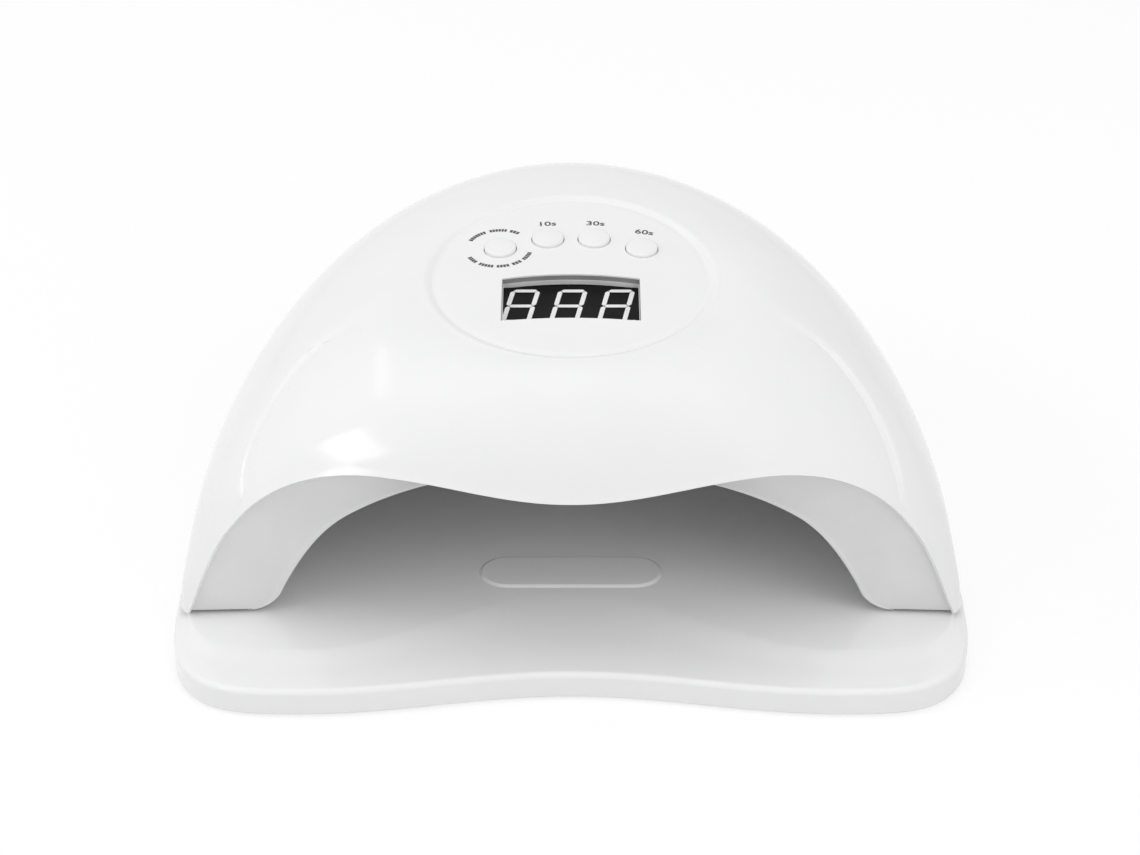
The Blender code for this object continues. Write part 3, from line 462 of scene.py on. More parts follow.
def solve(rises, low, high):
    # where rises(value) turns true between low and high
    for _ in range(34):
        middle = (low + high) / 2
        if rises(middle):
            high = middle
        else:
            low = middle
    return (low + high) / 2


def leanAt(angle, z):
    return solve(lambda lean: domePoint(angle, lean).z >= z, 0.0, quarter)


def meridianThrough(x, z):
    angle = solve(lambda turn: domePoint(turn, leanAt(turn, z)).x >= x, -quarter, 0.0)
    return angle, leanAt(angle, z)


def lipMeridians():
    # angle and lean of the lip's points, from the right foot to the left
    right = [meridianThrough(*lipPlace(i / lip["columns"])) for i in range(lip["columns"] + 1)]
    right[0] = (right[0][0], 0.0)
    right[-1] = (-quarter, right[-1][1])
    return right + [(-pi - angle, lean) for angle, lean in reversed(right[:-1])]


lipLine = lipMeridians()
lipFoot = lipLine[0][0]
creaseFoot = min((abs(angle) for angle, _ in lipLine), key=lambda turn: abs(turn - crease["foot"]))


def rimMeridians():
    # round the shell's lower edge: along the base behind, along the lip in front
    side, rear = dome["sideColumns"], dome["rearColumns"]
    base = [(lipFoot * (1 - i / side), 0.0) for i in range(side)]
    base += [(pi * i / rear, 0.0) for i in range(rear + 1)]
    base += [(pi - lipFoot * i / side, 0.0) for i in range(1, side + 1)]
    return base + lipLine[-2:0:-1]


opening = {
    "width": 0.0368, "top": 0.00085, "topBow": 0.0017, "bottom": -0.0196, "bottomBow": 0.001,
    "edgeRound": 0.00025, "cutLow": -0.014, "cutHigh": 0.004,
}
buttons = {
    "radius": 0.0043, "holeRadius": 0.00448, "crown": 0.0011, "edgeRound": 0.0002,
    "crownReach": 0.84, "crownDrop": 0.22, "shoulderDrop": 0.5,
    "places": ((-0.0192, 0.0135), (-0.0063, 0.0178), (0.0063, 0.0178), (0.0192, 0.0135)),
    "foot": [(0.0054, -0.0027), (0.0054, -0.0035), (0.0022, -0.0035), (0.0022, -0.0052), (0, -0.0052)],
}
vents = {"xs": (0.022, 0.028, 0.034, 0.04), "width": 0.0022, "bottom": 0.018, "height": 0.014, "frontY": 0.05}
jackLow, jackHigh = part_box("dc_jack")
jackZ = baseZ + 0.003 + fitGap + 0.0105 / 2
jack = {
    "holeRadius": 0.0042, "corner": 0.0004, "chamfer": 0.0003, "bodyDepth": 0.013,
    "noseRadius": 0.0038, "noseDepth": 0.006, "pinRadius": 0.001, "pinTip": -0.0026, "pinRoot": -0.0094,
    "bore": ((0, 0.002), (0.0034, 0.002), (0.0031, 0.00001), (0.00275, -0.0004), (0.00275, -0.009),
             (0, -0.009)),
    "sleeve": ((0.00274, -0.003), (0.00262, -0.0031), (0.00262, -0.0088), (0.00274, -0.0088),
               (0.00274, -0.003)),
}


def openingOutline(steps=14):
    # the display's opening bows towards the rear
    half = opening["width"] / 2
    across = [1 - 2 * i / steps for i in range(steps + 1)]
    upper = [(half * share, opening["top"] - opening["topBow"] * share ** 2) for share in across]
    lower = [(-half * share, opening["bottom"] - opening["bottomBow"] * share ** 2) for share in across]
    return upper + lower


def flaredCut(bm, outline, edgeRound):
    # a cutter through the panel whose top edge flares out to a rounding
    loops = [[onPanel(p, q, opening["cutLow"]) for p, q in outline]]
    for turn in quarterTurns(4):
        flare, drop = edgeRound * (1 - cos(turn)), edgeRound * (1 - sin(turn))
        loops.append([onPanel(p, q, -drop) for p, q in inset(outline, -flare)])
    loops.append([onPanel(p, q, opening["cutHigh"]) for p, q in inset(outline, -edgeRound)])
    tower(bm, loops)


def slotOutline(x, bottom, width, height, steps=8):
    radius = width / 2
    low, high = bottom + radius, bottom + height - radius
    turns = [pi * k / steps for k in range(steps + 1)]
    upper = [(x + radius * cos(turn), high + radius * sin(turn)) for turn in turns]
    return upper + [(x - radius * cos(turn), low - radius * sin(turn)) for turn in turns]


def wallNormal(angle, lean):
    # level at the lower edge, so the rim stays flat
    normal = domeNormal(angle, lean)
    if lean == 0:
        normal.z = 0
    return normal.normalized()


def makeShell():
    meridians = rimMeridians()
    columns, domeRows = len(meridians), dome["rows"]
    nearLip = kdtree.KDTree(len(lipLine))
    for i, (angle, lean) in enumerate(lipLine):
        nearLip.insert(domePoint(angle, lean), i)
    nearLip.balance()
    footY = domePoint(lipFoot, 0.0).y

    def wallAt(away):
        blend = ease((away - dome["lipWallReach"]) / dome["wallBlend"])
        return dome["lipWall"] + (dome["wall"] - dome["lipWall"]) * blend

    stepRows, fieldRows = panel["stepRows"], panel["fieldRows"]
    radii = [panel["radius"] - panel["stepZone"] * (k + 1) / stepRows for k in range(stepRows)]
    radii += [radii[-1] * (1 - (k + 1) / fieldRows) for k in range(fieldRows)]
    rows = []
    split, parts = dome["splitRows"], dome["splitParts"]  # the last rows are split finer
    shares = [k / domeRows for k in range(domeRows - split)]
    shares += [1 - split / domeRows * (1 - k / parts) for k in range(parts + 1)]
    for share in shares:
        row = []
        follow = ease(share / crease["followShare"])
        follow *= 1 - ease((share - crease["leaveShare"]) / crease["leaveSpan"])
        for start, lean in meridians:
            turn = lean + (quarter - lean) * share ** dome["rowPower"]
            angle = followCrease(start, turn, follow)
            point, normal = domePoint(angle, turn), wallNormal(angle, turn)
            away = nearLip.find(point)[2]
            flare = dome["lipFlare"] * max(0.0, 1 - away / dome["flareReach"]) ** 2 * (lean > 0)
            toRing = (domePoint(angle, quarter) - point).length
            relief = frontRelief(angle, turn, away) + ringRelief(-toRing, angle)
            row.append(raiseFoot(point + normal * (flare - relief), footY))
        rows.append(row)
    for radius in radii:
        row = []
        for angle, _ in meridians:
            p, q = radius * cos(angle), radius * sin(angle)
            row.append(panelPoint(p, q, panelFace(p) - ringRelief(panel["radius"] - radius, angle)))
        rows.append(row)
    innerRows = []
    for k in range(dome["innerRows"] + 1):
        row = []
        for angle, lean in meridians:
            turn = lean + (quarter - lean) * k / dome["innerRows"]
            point = domePoint(angle, turn)
            away = nearLip.find(point)[2]
            depth = wallAt(away) + frontRelief(angle, turn, away)
            row.append(raiseFoot(point - wallNormal(angle, turn) * depth, footY))
        innerRows.append(row)
    for share in panel["innerRings"]:
        reach = share * panel["radius"]
        turns = [(reach * cos(angle), reach * sin(angle)) for angle, _ in meridians]
        innerRows.append([onPanel(p, q, -dome["wall"]) for p, q in turns])
    bm = bmesh.new()
    for skin in (rows, innerRows):
        bentGrid(bm, columns, len(skin) - 1, lambda i, k: skin[k][i % columns])
    weld(bm)
    bmesh.ops.bridge_loops(bm, edges=[edge for edge in bm.edges if edge.is_boundary])
    bmesh.ops.recalc_face_normals(bm, faces=bm.faces)
    shell = toObject(bm, "domeShell")
    roundEdges(shell, dome["edgeRound"])
    cutter = bmesh.new()
    flaredCut(cutter, openingOutline(), opening["edgeRound"])
    for middle in buttons["places"]:
        flaredCut(cutter, circle(buttons["holeRadius"], 40, middle), buttons["edgeRound"])
    for x in vents["xs"]:
        for side in (-1, 1):
            outline = slotOutline(side * x, vents["bottom"], vents["width"], vents["height"])
            slab(cutter, outline, (trayHigh.y, vents["frontY"]), upright)
    slab(cutter, circle(jack["holeRadius"], 40, (0, jackZ)), (trayHigh.y, jackLow.y), upright)
    combine(shell, toObject(cutter, "shellCutter"), "DIFFERENCE")
    evenShading(shell)
    dress(shell, "glossWhite", ["top_shell"])


makeShell()
print("shell made")


cavity = {
    "halfWidth": shellHigh.x - 0.0248, "height": 0.045, "frontY": dome["widestY"] - 0.014,
    "rearY": shellHigh.y - 0.0278, "power": 3.0, "fillet": 0.006, "wall": 0.002, "edgeRound": 0.0003,
    "rim": 0.003, "rimGap": 0.0002, "rimSetback": 0.0009, "rimBlend": 0.009, "rimUnder": 0.0008,
    # the last key below sets how far behind the front edge the cavity's painted shade begins
    "tipPlace": 0.8, "tipOverlap": 0.0018, "footShare": 1 / 7, "paintedShadeFrom": 0.0015,
    "bandRows": 4, "bandShare": 0.88, "roll": 0.0007, "rollRise": 0.0003, "rollReach": 2.4, "rollRows": 12,
    "footLift": 0.0007, "liftPlace": 0.03, "liftSpan": 0.06, "liftHeight": 0.006,
    "bow": 0.0021, "bowHeight": 0.029, "bowPlace": 0.17, "bowPower": 1.2,
    "stations": (0.012, 0.03, 0.06, 0.1, 0.15, 0.2, 0.25, 0.3, 0.35, 0.4, 0.45, 0.5, 0.55, 0.6, 0.65, 0.7,
                 0.74, 0.78, 0.82, 0.86, 0.89, 0.92, 0.94, 0.96, 0.975, 0.986, 0.993, 0.997, 0.999, 0.9998),
    "screwHole": ((0, 0.006), (0.0017, 0.006), (0.0017, 0.002), (0.0031, 0.002), (0.0031, 0.0001),
                  (0.0034, -0.0003), (0.0034, -0.003), (0, -0.003)),
}
cavityReach = cavity["rearY"] - cavity["frontY"]
sole = {"halfX": 0.12, "halfY": 0.11, "low": -0.01, "liftShare": 0.95, "slopeStart": 0.0045, "slope": 0.009}
strips = {
    "led_strip_front": {"name": "Front", "place": 0.22, "width": 0.01, "beads": 9, "firstTurn": 20},
    "led_strip_rear": {"name": "Rear", "place": 0.60, "width": 0.01, "beads": 9, "firstTurn": 20},
    "led_strip_back": {"name": "Back", "place": 0.93, "width": 0.005, "beads": 6, "firstTurn": 35},
    "sensor_board": {"name": "Sensor", "place": 0.09, "width": 0.01, "beads": 2, "firstTurn": 82},
}
bead = {
    "radius": 0.0026, "reach": 0.0008, "boardThickness": 0.0012, "boardRound": 0.0002, "margin": 0.35,
    "holeGap": 0.0004, "holeHigh": 0.006, "holeLow": -0.004, "poolLow": -0.0004,
    "cup": ((0, 0), (0.78, 0), (0.86, 0.75), (0.93, 0.8), (1, 0.5)),
    "pool": ((0, 0.5), (0.4, 0.48), (0.72, 0.3), (0.8, 0.0)),
}


def cavityScale(place):
    return max(0.0, 1 - place ** cavity["power"]) ** (1 / cavity["power"])


def cavityPoint(turn, place):
    top = cavity["height"] * cavityScale(place)
    height = top * sin(turn)
    side = 0.0
    if abs(cos(turn)) > 1e-6:
        side = cavity["halfWidth"] * cavityScale(place) * sqrt(max(0.0, 1 - (height / top) ** 2))
        fillet = min(cavity["fillet"], top)
        lift = max(0.0, fillet - height)
        side += fillet - sqrt(fillet * fillet - lift * lift)
        if height < cavity["bowHeight"]:  # the front edge runs straighter to its foot
            front = 1 - ease(place / cavity["bowPlace"])
            bow = sin(pi * height / cavity["bowHeight"]) ** cavity["bowPower"]
            side -= cavity["bow"] * front * bow
    y = cavity["frontY"] + cavityReach * place
    raised = cavity["footLift"] * (1 - ease((place - cavity["liftPlace"]) / cavity["liftSpan"]))
    raised *= 1 - ease(height / cavity["liftHeight"])
    return Vector((copysign(side, cos(turn)), y, baseZ + height + raised))


def cavityNormal(turn, place):
    # away from the cavity, into the liner's wall
    return -normalAt(cavityPoint, turn, place)


def archTurn(share):
    # the cavity's turn that the band's straight line meets, from the foot to the middle
    footShare = cavity["footShare"]
    if share < footShare:
        return asin(cavity["fillet"] * (1 - cos(quarter * share / footShare)) / cavity["height"])
    foot = asin(cavity["fillet"] / cavity["height"])
    return foot + (quarter - foot) * (share - footShare) / (1 - footShare)


def beadTurns(strip):
    first, count = radians(strip["firstTurn"]), strip["beads"]
    return [first + (pi - 2 * first) * i / (count - 1) for i in range(count)]


def beadMatrix(turn, place, lift):
    # on the cavity's surface, with +Z into the cavity
    normal = cavityNormal(turn, place)
    frameTurn = (-normal).to_track_quat("Z", "Y").to_matrix().to_4x4()
    return Matrix.Translation(cavityPoint(turn, place) + normal * lift) @ frameTurn


def rimX(place):
    scale = cavityScale(place)
    foot = min(cavity["fillet"], cavity["height"] * scale)
    return max(1e-6, cavity["halfWidth"] * scale + foot - cavity["wall"] / 4)


def rimEdges():
    # the flat rim's outer and inner edge, from the right foot round behind to the left
    outer, inner = [], []
    distance = dome["wall"] + fitGap + cavity["rimGap"]
    front = cavity["frontY"] + cavity["rimSetback"]
    for angle, lean in rimMeridians():
        if lean > 0:
            continue
        edge = domePoint(angle, 0.0) - wallNormal(angle, 0.0) * distance
        edge.y = max(edge.y, front)
        nearFront = 1 - ease((edge.y - front) / cavity["rimBlend"])
        edge.z = baseZ + cavity["footLift"] * nearFront
        outer.append(edge)
        wanted = atan2(edge.y - cavity["frontY"], abs(edge.x))
        place = solve(lambda share: atan2(cavityReach * share, rimX(share)) >= wanted, 0.0, 1.0)
        overlap = cavity["tipOverlap"] * ease((place - cavity["tipPlace"]) / (1 - cavity["tipPlace"]))
        y = cavity["frontY"] + cavityReach * place + overlap
        x = rimX(place) - cavity["rimUnder"] * nearFront
        inner.append(Vector((copysign(x, edge.x), max(y, front), edge.z)))
    return outer, inner


def bandEdge():
    # where the band meets the lip
    edges = []
    for angle, lean in lipLine:
        normal = wallNormal(angle, lean)
        depth = dome["lipWall"] + lip["inset"] + frontRelief(angle, lean)
        edge = domePoint(angle, lean) - normal * depth
        edge += (Vector((0, 1, 0)) - normal * normal.y).normalized() * lip["setback"]
        edge.z = max(edge.z, baseZ + cavity["footLift"])
        edges.append(edge)
    return edges


def makeLiner():
    turns = [archTurn(i / lip["columns"]) for i in range(lip["columns"] + 1)]
    turns += [pi - turn for turn in reversed(turns[:-1])]
    outer, inner = bandEdge(), [cavityPoint(turn, 0.0) for turn in turns]
    rows = []
    for k in range(cavity["bandRows"] + 1):
        share = cavity["bandShare"] * k / cavity["bandRows"]
        rows.append([first.lerp(second, share) for first, second in zip(outer, inner)])
    for k in range(cavity["rollRows"] + 1):  # the cavity's rounded edge stands a little proud of the band
        share = k / cavity["rollRows"]
        along = (1 - share) ** 2 * cavity["rollReach"] * cavity["roll"]
        back = Vector((0, share ** 3 * cavity["roll"], 0))
        swell = sin(pi * share ** 0.8) ** 2
        row = []
        for first, second in zip(outer, inner):
            away = (first - second).normalized()
            forward = away * away.y - Vector((0, 1, 0))
            row.append(second + away * along + back + forward * cavity["rollRise"] * swell)
        rows.append(row)
    rows += [[cavityPoint(turn, place) for turn in turns] for place in cavity["stations"]]
    rows.append([Vector((0, cavity["rearY"], baseZ))] * len(turns))
    bm = bmesh.new()
    bentGrid(bm, len(turns) - 1, len(rows) - 1, lambda i, k: rows[k][i])
    weld(bm)
    liner = toObject(bm, "innerLiner")
    thicken(liner, cavity["wall"], cavity["edgeRound"])
    under = bmesh.new()
    low, halfY = sole["low"], sole["halfY"]
    frontZ, raiseY = baseZ + sole["liftShare"] * cavity["footLift"], cavity["frontY"] + sole["slopeStart"]
    profile = [(-halfY, low), (halfY, low), (halfY, baseZ), (raiseY + sole["slope"], baseZ)]
    profile += [(raiseY, frontZ), (-halfY, frontZ)]
    slab(under, profile, (-sole["halfX"], sole["halfX"]), lambda y, z, x: (x, y, z))
    combine(liner, toObject(under, "soleCutter"), "DIFFERENCE")
    outerEdge, innerEdge = rimEdges()
    edges = outerEdge + innerEdge[::-1]
    loops = [[edge + Vector((0, 0, height)) for edge in edges] for height in (0, cavity["rim"])]
    combine(liner, stacked("rimPlate", loops), "UNION")
    cutter = bmesh.new()
    radius, high, low = bead["radius"] + bead["holeGap"], bead["holeHigh"], bead["holeLow"]
    for strip in strips.values():
        for turn in beadTurns(strip):
            matrix = beadMatrix(turn, strip["place"], 0)
            turned(cutter, [(0, high), (radius, high), (radius, low), (0, low)], matrix, steps=28)
    for node in frame["nodes"]:
        if node.startswith("case_screw"):
            low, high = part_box(node)
            middle = (low + high) / 2
            turned(cutter, cavity["screwHole"], Matrix.Translation((middle.x, middle.y, baseZ)), steps=28)
    combine(liner, toObject(cutter, "linerCutter"), "DIFFERENCE")
    evenShading(liner)
    dress(liner, "satinGrey", ["inner_liner"])
    # the faces inside the cavity take the darker grey: painted shade for the cavity's dark inside
    liner.data.materials.append(finishes["cavityPaintedShade"])
    for face in liner.data.polygons:
        face.material_index = int(face.center.y > cavity["frontY"] + cavity["paintedShadeFrom"])


makeLiner()
print("liner made")


def makeStrip(node, strip):
    under = cavity["wall"] + 2 * fitGap
    turns = beadTurns(strip)
    margin = (turns[1] - turns[0]) * bead["margin"]
    first, last = turns[0] - margin, turns[-1] + margin
    share = strip["width"] / cavityReach
    columns, rows = 6 * strip["beads"] + 10, 6

    def boardPoint(i, k):
        turn = first + (last - first) * i / columns
        place = strip["place"] + share * (k / rows - 0.5)
        return cavityPoint(turn, place) + cavityNormal(turn, place) * under

    bm = bmesh.new()
    bentGrid(bm, columns, rows, boardPoint)
    board = toObject(bm, "board" + strip["name"])
    thicken(board, bead["boardThickness"], bead["boardRound"])
    boardFinish, lensFinish, slot = "whiteBoard", "lampPhosphor", "strip_white"
    if strip["name"] == "Sensor":
        boardFinish, lensFinish, slot = "blackMoulding", "displayFace", "black_plastic"
    dress(board, boardFinish, [node])
    beads = (("cup", -under, "beadCups", boardFinish), ("pool", bead["poolLow"], "beadLenses", lensFinish))
    for shape, low, name, finishName in beads:
        profile = [(bead["radius"] * across, bead["reach"] * up) for across, up in bead[shape]]
        profile += [(profile[-1][0], low), (0, low)]
        bm = bmesh.new()
        for turn in turns:
            turned(bm, profile, beadMatrix(turn, strip["place"], 0), steps=32)
        dress(toObject(bm, name + strip["name"]), finishName)


for stripNode, stripSettings in strips.items():
    makeStrip(stripNode, stripSettings)
print("lamp boards made")


tray = {
    "edgeTop": 0.008, "edgeRound": 0.0016, "bottomRound": 0.0006, "wall": 0.0024, "top": baseZ - fitGap,
    "notch": 0.008, "cornerY": -0.055, "cornerPower": 3.4, "lobeX": trayHigh.x * 0.66, "rearPower": 1.9,
    "frontSteps": 40, "cornerSteps": 24, "rearSteps": 52,
    "fieldInset": 0.0035, "fieldFrontY": -0.0825, "fieldNotch": 0.027,
    "slopeRows": 18, "slopePower": 1.6, "slopeFoot": 0.0002, "slopeCrest": 0.0006,
}
pill = {
    "length": 0.0495, "width": 0.015, "y": -0.045, "rise": 0.0006, "root": 0.0008,
    "skirt": 0.0004, "slope": 0.0012, "steps": 24, "rows": 8,
}


def bulged(turn, power):
    return max(0.0, cos(turn)) ** (2 / power), sin(turn) ** (2 / power)


def plateOutline(margin, frontY, notch):
    # wavy front between two lobes, round corners, rounded rear
    halfWidth, rearY = trayHigh.x - margin, trayHigh.y - margin
    lobeX, cornerY = tray["lobeX"], tray["cornerY"]
    half = []
    for i in range(tray["frontSteps"]):
        x = lobeX * i / tray["frontSteps"]
        half.append((x, frontY + notch * (0.5 + 0.5 * cos(pi * x / lobeX))))
    for turn in quarterTurns(tray["cornerSteps"])[:-1]:
        along, across = bulged(turn, tray["cornerPower"])
        half.append((lobeX + (halfWidth - lobeX) * across, cornerY - (cornerY - frontY) * along))
    for turn in quarterTurns(tray["rearSteps"]):
        across, along = bulged(turn, tray["rearPower"])
        half.append((halfWidth * across, cornerY + (rearY - cornerY) * along))
    half[-1] = (0.0, rearY)
    return half + [(-x, y) for x, y in reversed(half[1:-1])]


def atHeight(outline, z):
    return [Vector((x, y, z)) for x, y in outline]


def makeTray():
    outer = plateOutline(0.0, trayLow.y, tray["notch"])
    field = plateOutline(tray["fieldInset"], tray["fieldFrontY"], tray["fieldNotch"])
    bottom, top, edgeTop, edgeRound = trayLow.z, tray["top"], tray["edgeTop"], tray["edgeRound"]
    hollow, small = inset(outer, tray["wall"]), tray["bottomRound"]
    loops = [atHeight(hollow, edgeTop - tray["wall"]), atHeight(hollow, bottom)]
    for turn in quarterTurns(4):
        z = bottom + small * (1 - cos(turn))
        loops.append(atHeight(inset(outer, small * (1 - sin(turn))), z))
    for turn in quarterTurns(8):
        z = edgeTop - edgeRound + edgeRound * sin(turn)
        loops.append(atHeight(inset(outer, edgeRound * (1 - cos(turn))), z))
    border, crest = inset(outer, edgeRound + tray["slopeFoot"]), inset(field, tray["slopeCrest"])
    for k in range(tray["slopeRows"] + 1):  # a slope up to the raised field, steepest close to it
        share = 1 - (1 - k / tray["slopeRows"]) ** tray["slopePower"]
        z = edgeTop + (top - edgeTop) * (0.5 * share + 0.5 * ease((share - 0.5) / 0.5))
        line = [(a[0] + (b[0] - a[0]) * share, a[1] + (b[1] - a[1]) * share) for a, b in zip(border, crest)]
        loops.append(atHeight(line, z))
    body = stacked("trayPlate", loops)
    half, radius = (pill["length"] - pill["width"]) / 2, pill["width"] / 2
    outline = []
    for side in (1, -1):
        for i in range(pill["steps"] + 1):
            turn = -side * quarter + pi * i / pill["steps"]
            outline.append((side * half + radius * cos(turn), pill["y"] + radius * sin(turn)))
    foot = inset(outline, -pill["skirt"])
    loops = [atHeight(foot, top - pill["root"]), atHeight(foot, top)]
    for k in range(1, pill["rows"] + 1):
        share = k / pill["rows"]
        line = inset(outline, pill["slope"] * share - pill["skirt"])
        loops.append(atHeight(line, top + pill["rise"] * ease(share)))
    combine(body, stacked("pillBump", loops), "UNION")
    evenShading(body)
    dress(body, "glossWhite", ["base_tray"], "tray")


makeTray()
print("tray made")


def panelMatrix(p, q):
    turn = Matrix((Vector((1, 0, 0)), panelAlong, panelUp)).transposed().to_4x4()
    return Matrix.Translation(onPanel(p, q, 0)) @ turn


def makeButtons():
    radius, crown, foot = buttons["radius"], buttons["crown"], buttons["foot"]
    reach, drop = buttons["crownReach"], buttons["crownDrop"]
    profile = [(0, crown)]
    for share in [k / 8 for k in range(1, 9)]:  # a shallow dome, then a rounded shoulder
        profile.append((radius * reach * share, crown * (1 - drop * share ** 2)))
    for turn in quarterTurns(5)[1:]:
        height = crown * (1 - drop - buttons["shoulderDrop"] * (1 - cos(turn)))
        profile.append((radius * (reach + (1 - reach) * sin(turn)), height))
    profile += [(radius, foot[0][1])] + foot
    for number, (p, q) in enumerate(buttons["places"], 1):
        cap = spun(f"buttonTop{number}", profile, panelMatrix(p, q), steps=64)
        dress(cap, "glossWhite", [f"button_cap_{number}"], f"button_{number}")


display = {
    "width": 0.0376, "depth": 0.019, "sink": 0.0033, "height": 0.0072, "corner": 0.0003, "edge": 0.0002,
    "q": -0.01035, "pitch": 0.0127, "digitShift": -0.0007, "digitQ": -0.00963, "digitHeight": 0.0154,
    "digitWidth": 0.0079, "bar": 0.00125, "slant": tan(radians(10)), "barGap": 0.00014,
    "relief": 0.00006, "root": 0.0003, "pointRadius": 0.0006, "pointGap": 0.0013,
    "liningDrop": 0.0005, "liningWall": 0.001, "gasketReach": 0.0006, "seam": 0.0001,
}


def barOutline(start, end):
    # a long hexagon between two corners of a digit, a little short of both
    gap = (end - start).normalized() * display["barGap"]
    start, end = start + gap, end - gap
    along = (end - start).normalized()
    across = Vector((-along.y, along.x)) * display["bar"] / 2
    tip = along * display["bar"] / 2
    return [start, start + tip - across, end - tip - across, end, end - tip + across, start + tip + across]


def makeDigits(top):
    bars, q = bmesh.new(), display["digitQ"]
    halfWidth = (display["digitWidth"] - display["bar"]) / 2
    halfHeight = (display["digitHeight"] - display["bar"]) / 2
    runs = [((-halfWidth, k * halfHeight), (halfWidth, k * halfHeight)) for k in (1, 0, -1)]
    for k in (1, 0):
        runs += [((x, k * halfHeight), (x, (k - 1) * halfHeight)) for x in (-halfWidth, halfWidth)]
    heights = (top - display["root"], top + display["relief"])
    for digit in (-1, 0, 1):
        middle = digit * display["pitch"] + display["digitShift"]
        for first, second in runs:
            outline = barOutline(Vector(first), Vector(second))
            placed = [(middle + point.x + display["slant"] * point.y, q + point.y) for point in outline]
            slab(bars, placed, heights, panelPoint)
        point = (middle + halfWidth + display["pointGap"], q - halfHeight)
        slab(bars, circle(display["pointRadius"], 20, point), heights, panelPoint)
    dress(toObject(bars, "digitBars"), "segmentResin")


def makeDisplay():
    top, edge, seam = -panel["step"] - display["sink"], display["edge"], display["seam"]
    outline = roundedBox(display["width"], display["depth"], display["corner"], (0, display["q"]))
    levels = ((top - display["height"], 0.0), (top - edge, 0.0), (top, edge))
    loops = [[panelPoint(a, b, z) for a, b in inset(outline, shrink)] for z, shrink in levels]
    dress(stacked("displayBlock", loops), "displayFace", ["display_module"])
    makeDigits(top)
    liningTop = -panel["step"] - display["liningDrop"]
    split = (liningTop + top) / 2
    # the upper lining is dark grey, painted shade on the opening's wall; a grey frame lies below it
    linings = (
        ("openingShadeLining", "liningPaintedShade", seam, split, liningTop),
        ("moduleFrame", "satinGrey", 3 * seam, top + seam, split),
    )
    for name, finishName, inwards, low, high in linings:
        collar = bmesh.new()
        inner = inset(openingOutline(), inwards)
        outer = inset(inner, -display["liningWall"])
        corners = ((inner, low), (outer, low), (outer, high), (inner, high), (inner, low))
        loops = [[panelPoint(a, b, z + panelFace(a)) for a, b in line] for line, z in corners]
        bentGrid(collar, len(inner), 4, lambda i, k: loops[k][i % len(inner)])
        closeUp(collar)
        dress(toObject(collar, name), finishName)
    gasket = bmesh.new()  # closes the slits between the module and the bowed edges of its opening
    reach = display["gasketReach"]
    slab(gasket, inset(openingOutline(), -reach), (top - reach, top - seam), panelPoint)
    dress(toObject(gasket, "moduleGasket"), "displayFace")


marks = {
    "labels": (("10s", -0.0066, 0.0252, 3), ("30s", 0.0067, 0.0254, -3), ("60s", 0.02, 0.0215, -9)),
    "size": 0.0029, "stretch": 1.3, "weight": 0.00004, "lift": 0.00003, "thickness": 0.00004,
    "ringMiddle": (-0.0196, 0.0137), "ringRadius": 0.0088, "tickHeight": 0.00115, "tickTurn": 5.5,
    "tickParts": (0.08, 0.86),  # where a dash starts and ends in its share of the ring
    "arcs": ((153, 115), (108, 76), (71, 52), (206, 228), (234, 262), (267, 290), (295, 314), (319, 345)),
}


def makeMarks():
    bm = bmesh.new()
    lift, thick = marks["lift"], marks["thickness"] / 2
    for words, p, q, turn in marks["labels"]:
        curve = bpy.data.curves.new("label", "FONT")
        curve.body = words
        curve.size = marks["size"]
        curve.align_x = curve.align_y = "CENTER"
        curve.extrude = thick
        curve.offset = marks["weight"]
        curve.resolution_u = 4
        text = addObject("label", curve)
        bpy.context.view_layer.update()
        mesh = finalMesh(text)
        part = bmesh.new()
        part.from_mesh(mesh)
        stretch = Matrix.Scale(marks["stretch"], 4, (1, 0, 0))
        part.transform(Matrix.Rotation(radians(turn), 4, "Z") @ stretch)
        for vert in part.verts:
            vert.co = onPanel(p + vert.co.x, q + vert.co.y, lift + vert.co.z)
        addTo(bm, part)
        bpy.data.objects.remove(text)
        bpy.data.meshes.remove(mesh)
    (p, q), ring, half = marks["ringMiddle"], marks["ringRadius"], marks["tickHeight"] / 2
    for first, last in marks["arcs"]:
        ticks = max(2, round(abs(last - first) / marks["tickTurn"]))
        for tick in range(ticks):
            ends = [first + (last - first) * (tick + part) / ticks for part in marks["tickParts"]]
            low, high = sorted(radians(end) for end in ends)
            corners = ((ring + half, low), (ring + half, high), (ring - half, high), (ring - half, low))
            outline = [(p + out * cos(turn), q + out * sin(turn)) for out, turn in corners]
            slab(bm, outline, (lift - thick, lift + thick), onPanel)
    dress(toObject(bm, "panelMarks"), "greyPrint")


makeButtons()
makeDisplay()
makeMarks()
print("controls made")


def makeJack():
    width, height = jackHigh.x - jackLow.x, jackHigh.z - jackLow.z
    outline = roundedBox(width, height, jack["corner"], (0, (jackLow.z + jackHigh.z) / 2))
    chamfer, faceY = jack["chamfer"], jackLow.y + jack["bodyDepth"]
    levels = ((faceY, chamfer), (faceY - chamfer, 0), (jackLow.y, 0))
    loops = [[(a, y, z) for a, z in inset(outline, shrink)] for y, shrink in levels]
    body = stacked("jackBody", loops)
    # +Z runs out to the rear
    towards = Matrix.Translation((0, jackHigh.y, jackZ)) @ Matrix.Rotation(-quarter, 4, "X")
    radius, depth = jack["noseRadius"], jack["noseDepth"]
    nose = [(0, 0), (radius - chamfer, 0), (radius, -chamfer), (radius, -depth), (0, -depth)]
    combine(body, spun("noseShape", nose, towards, steps=56), "UNION")
    combine(body, spun("boreShape", jack["bore"], towards, steps=56), "DIFFERENCE")
    dress(body, "blackMoulding", ["dc_jack"])
    radius, tip, root = jack["pinRadius"], jack["pinTip"], jack["pinRoot"]
    pin = [(radius * sin(turn), tip + radius * cos(turn)) for turn in quarterTurns(5)]
    pin += [(radius, root), (0, root)]
    dress(spun("jackPin", pin, towards, steps=32), "nickelPlate")
    dress(spun("jackSleeve", jack["sleeve"], towards, steps=48), "nickelPlate")


makeJack()
print("inlet made")


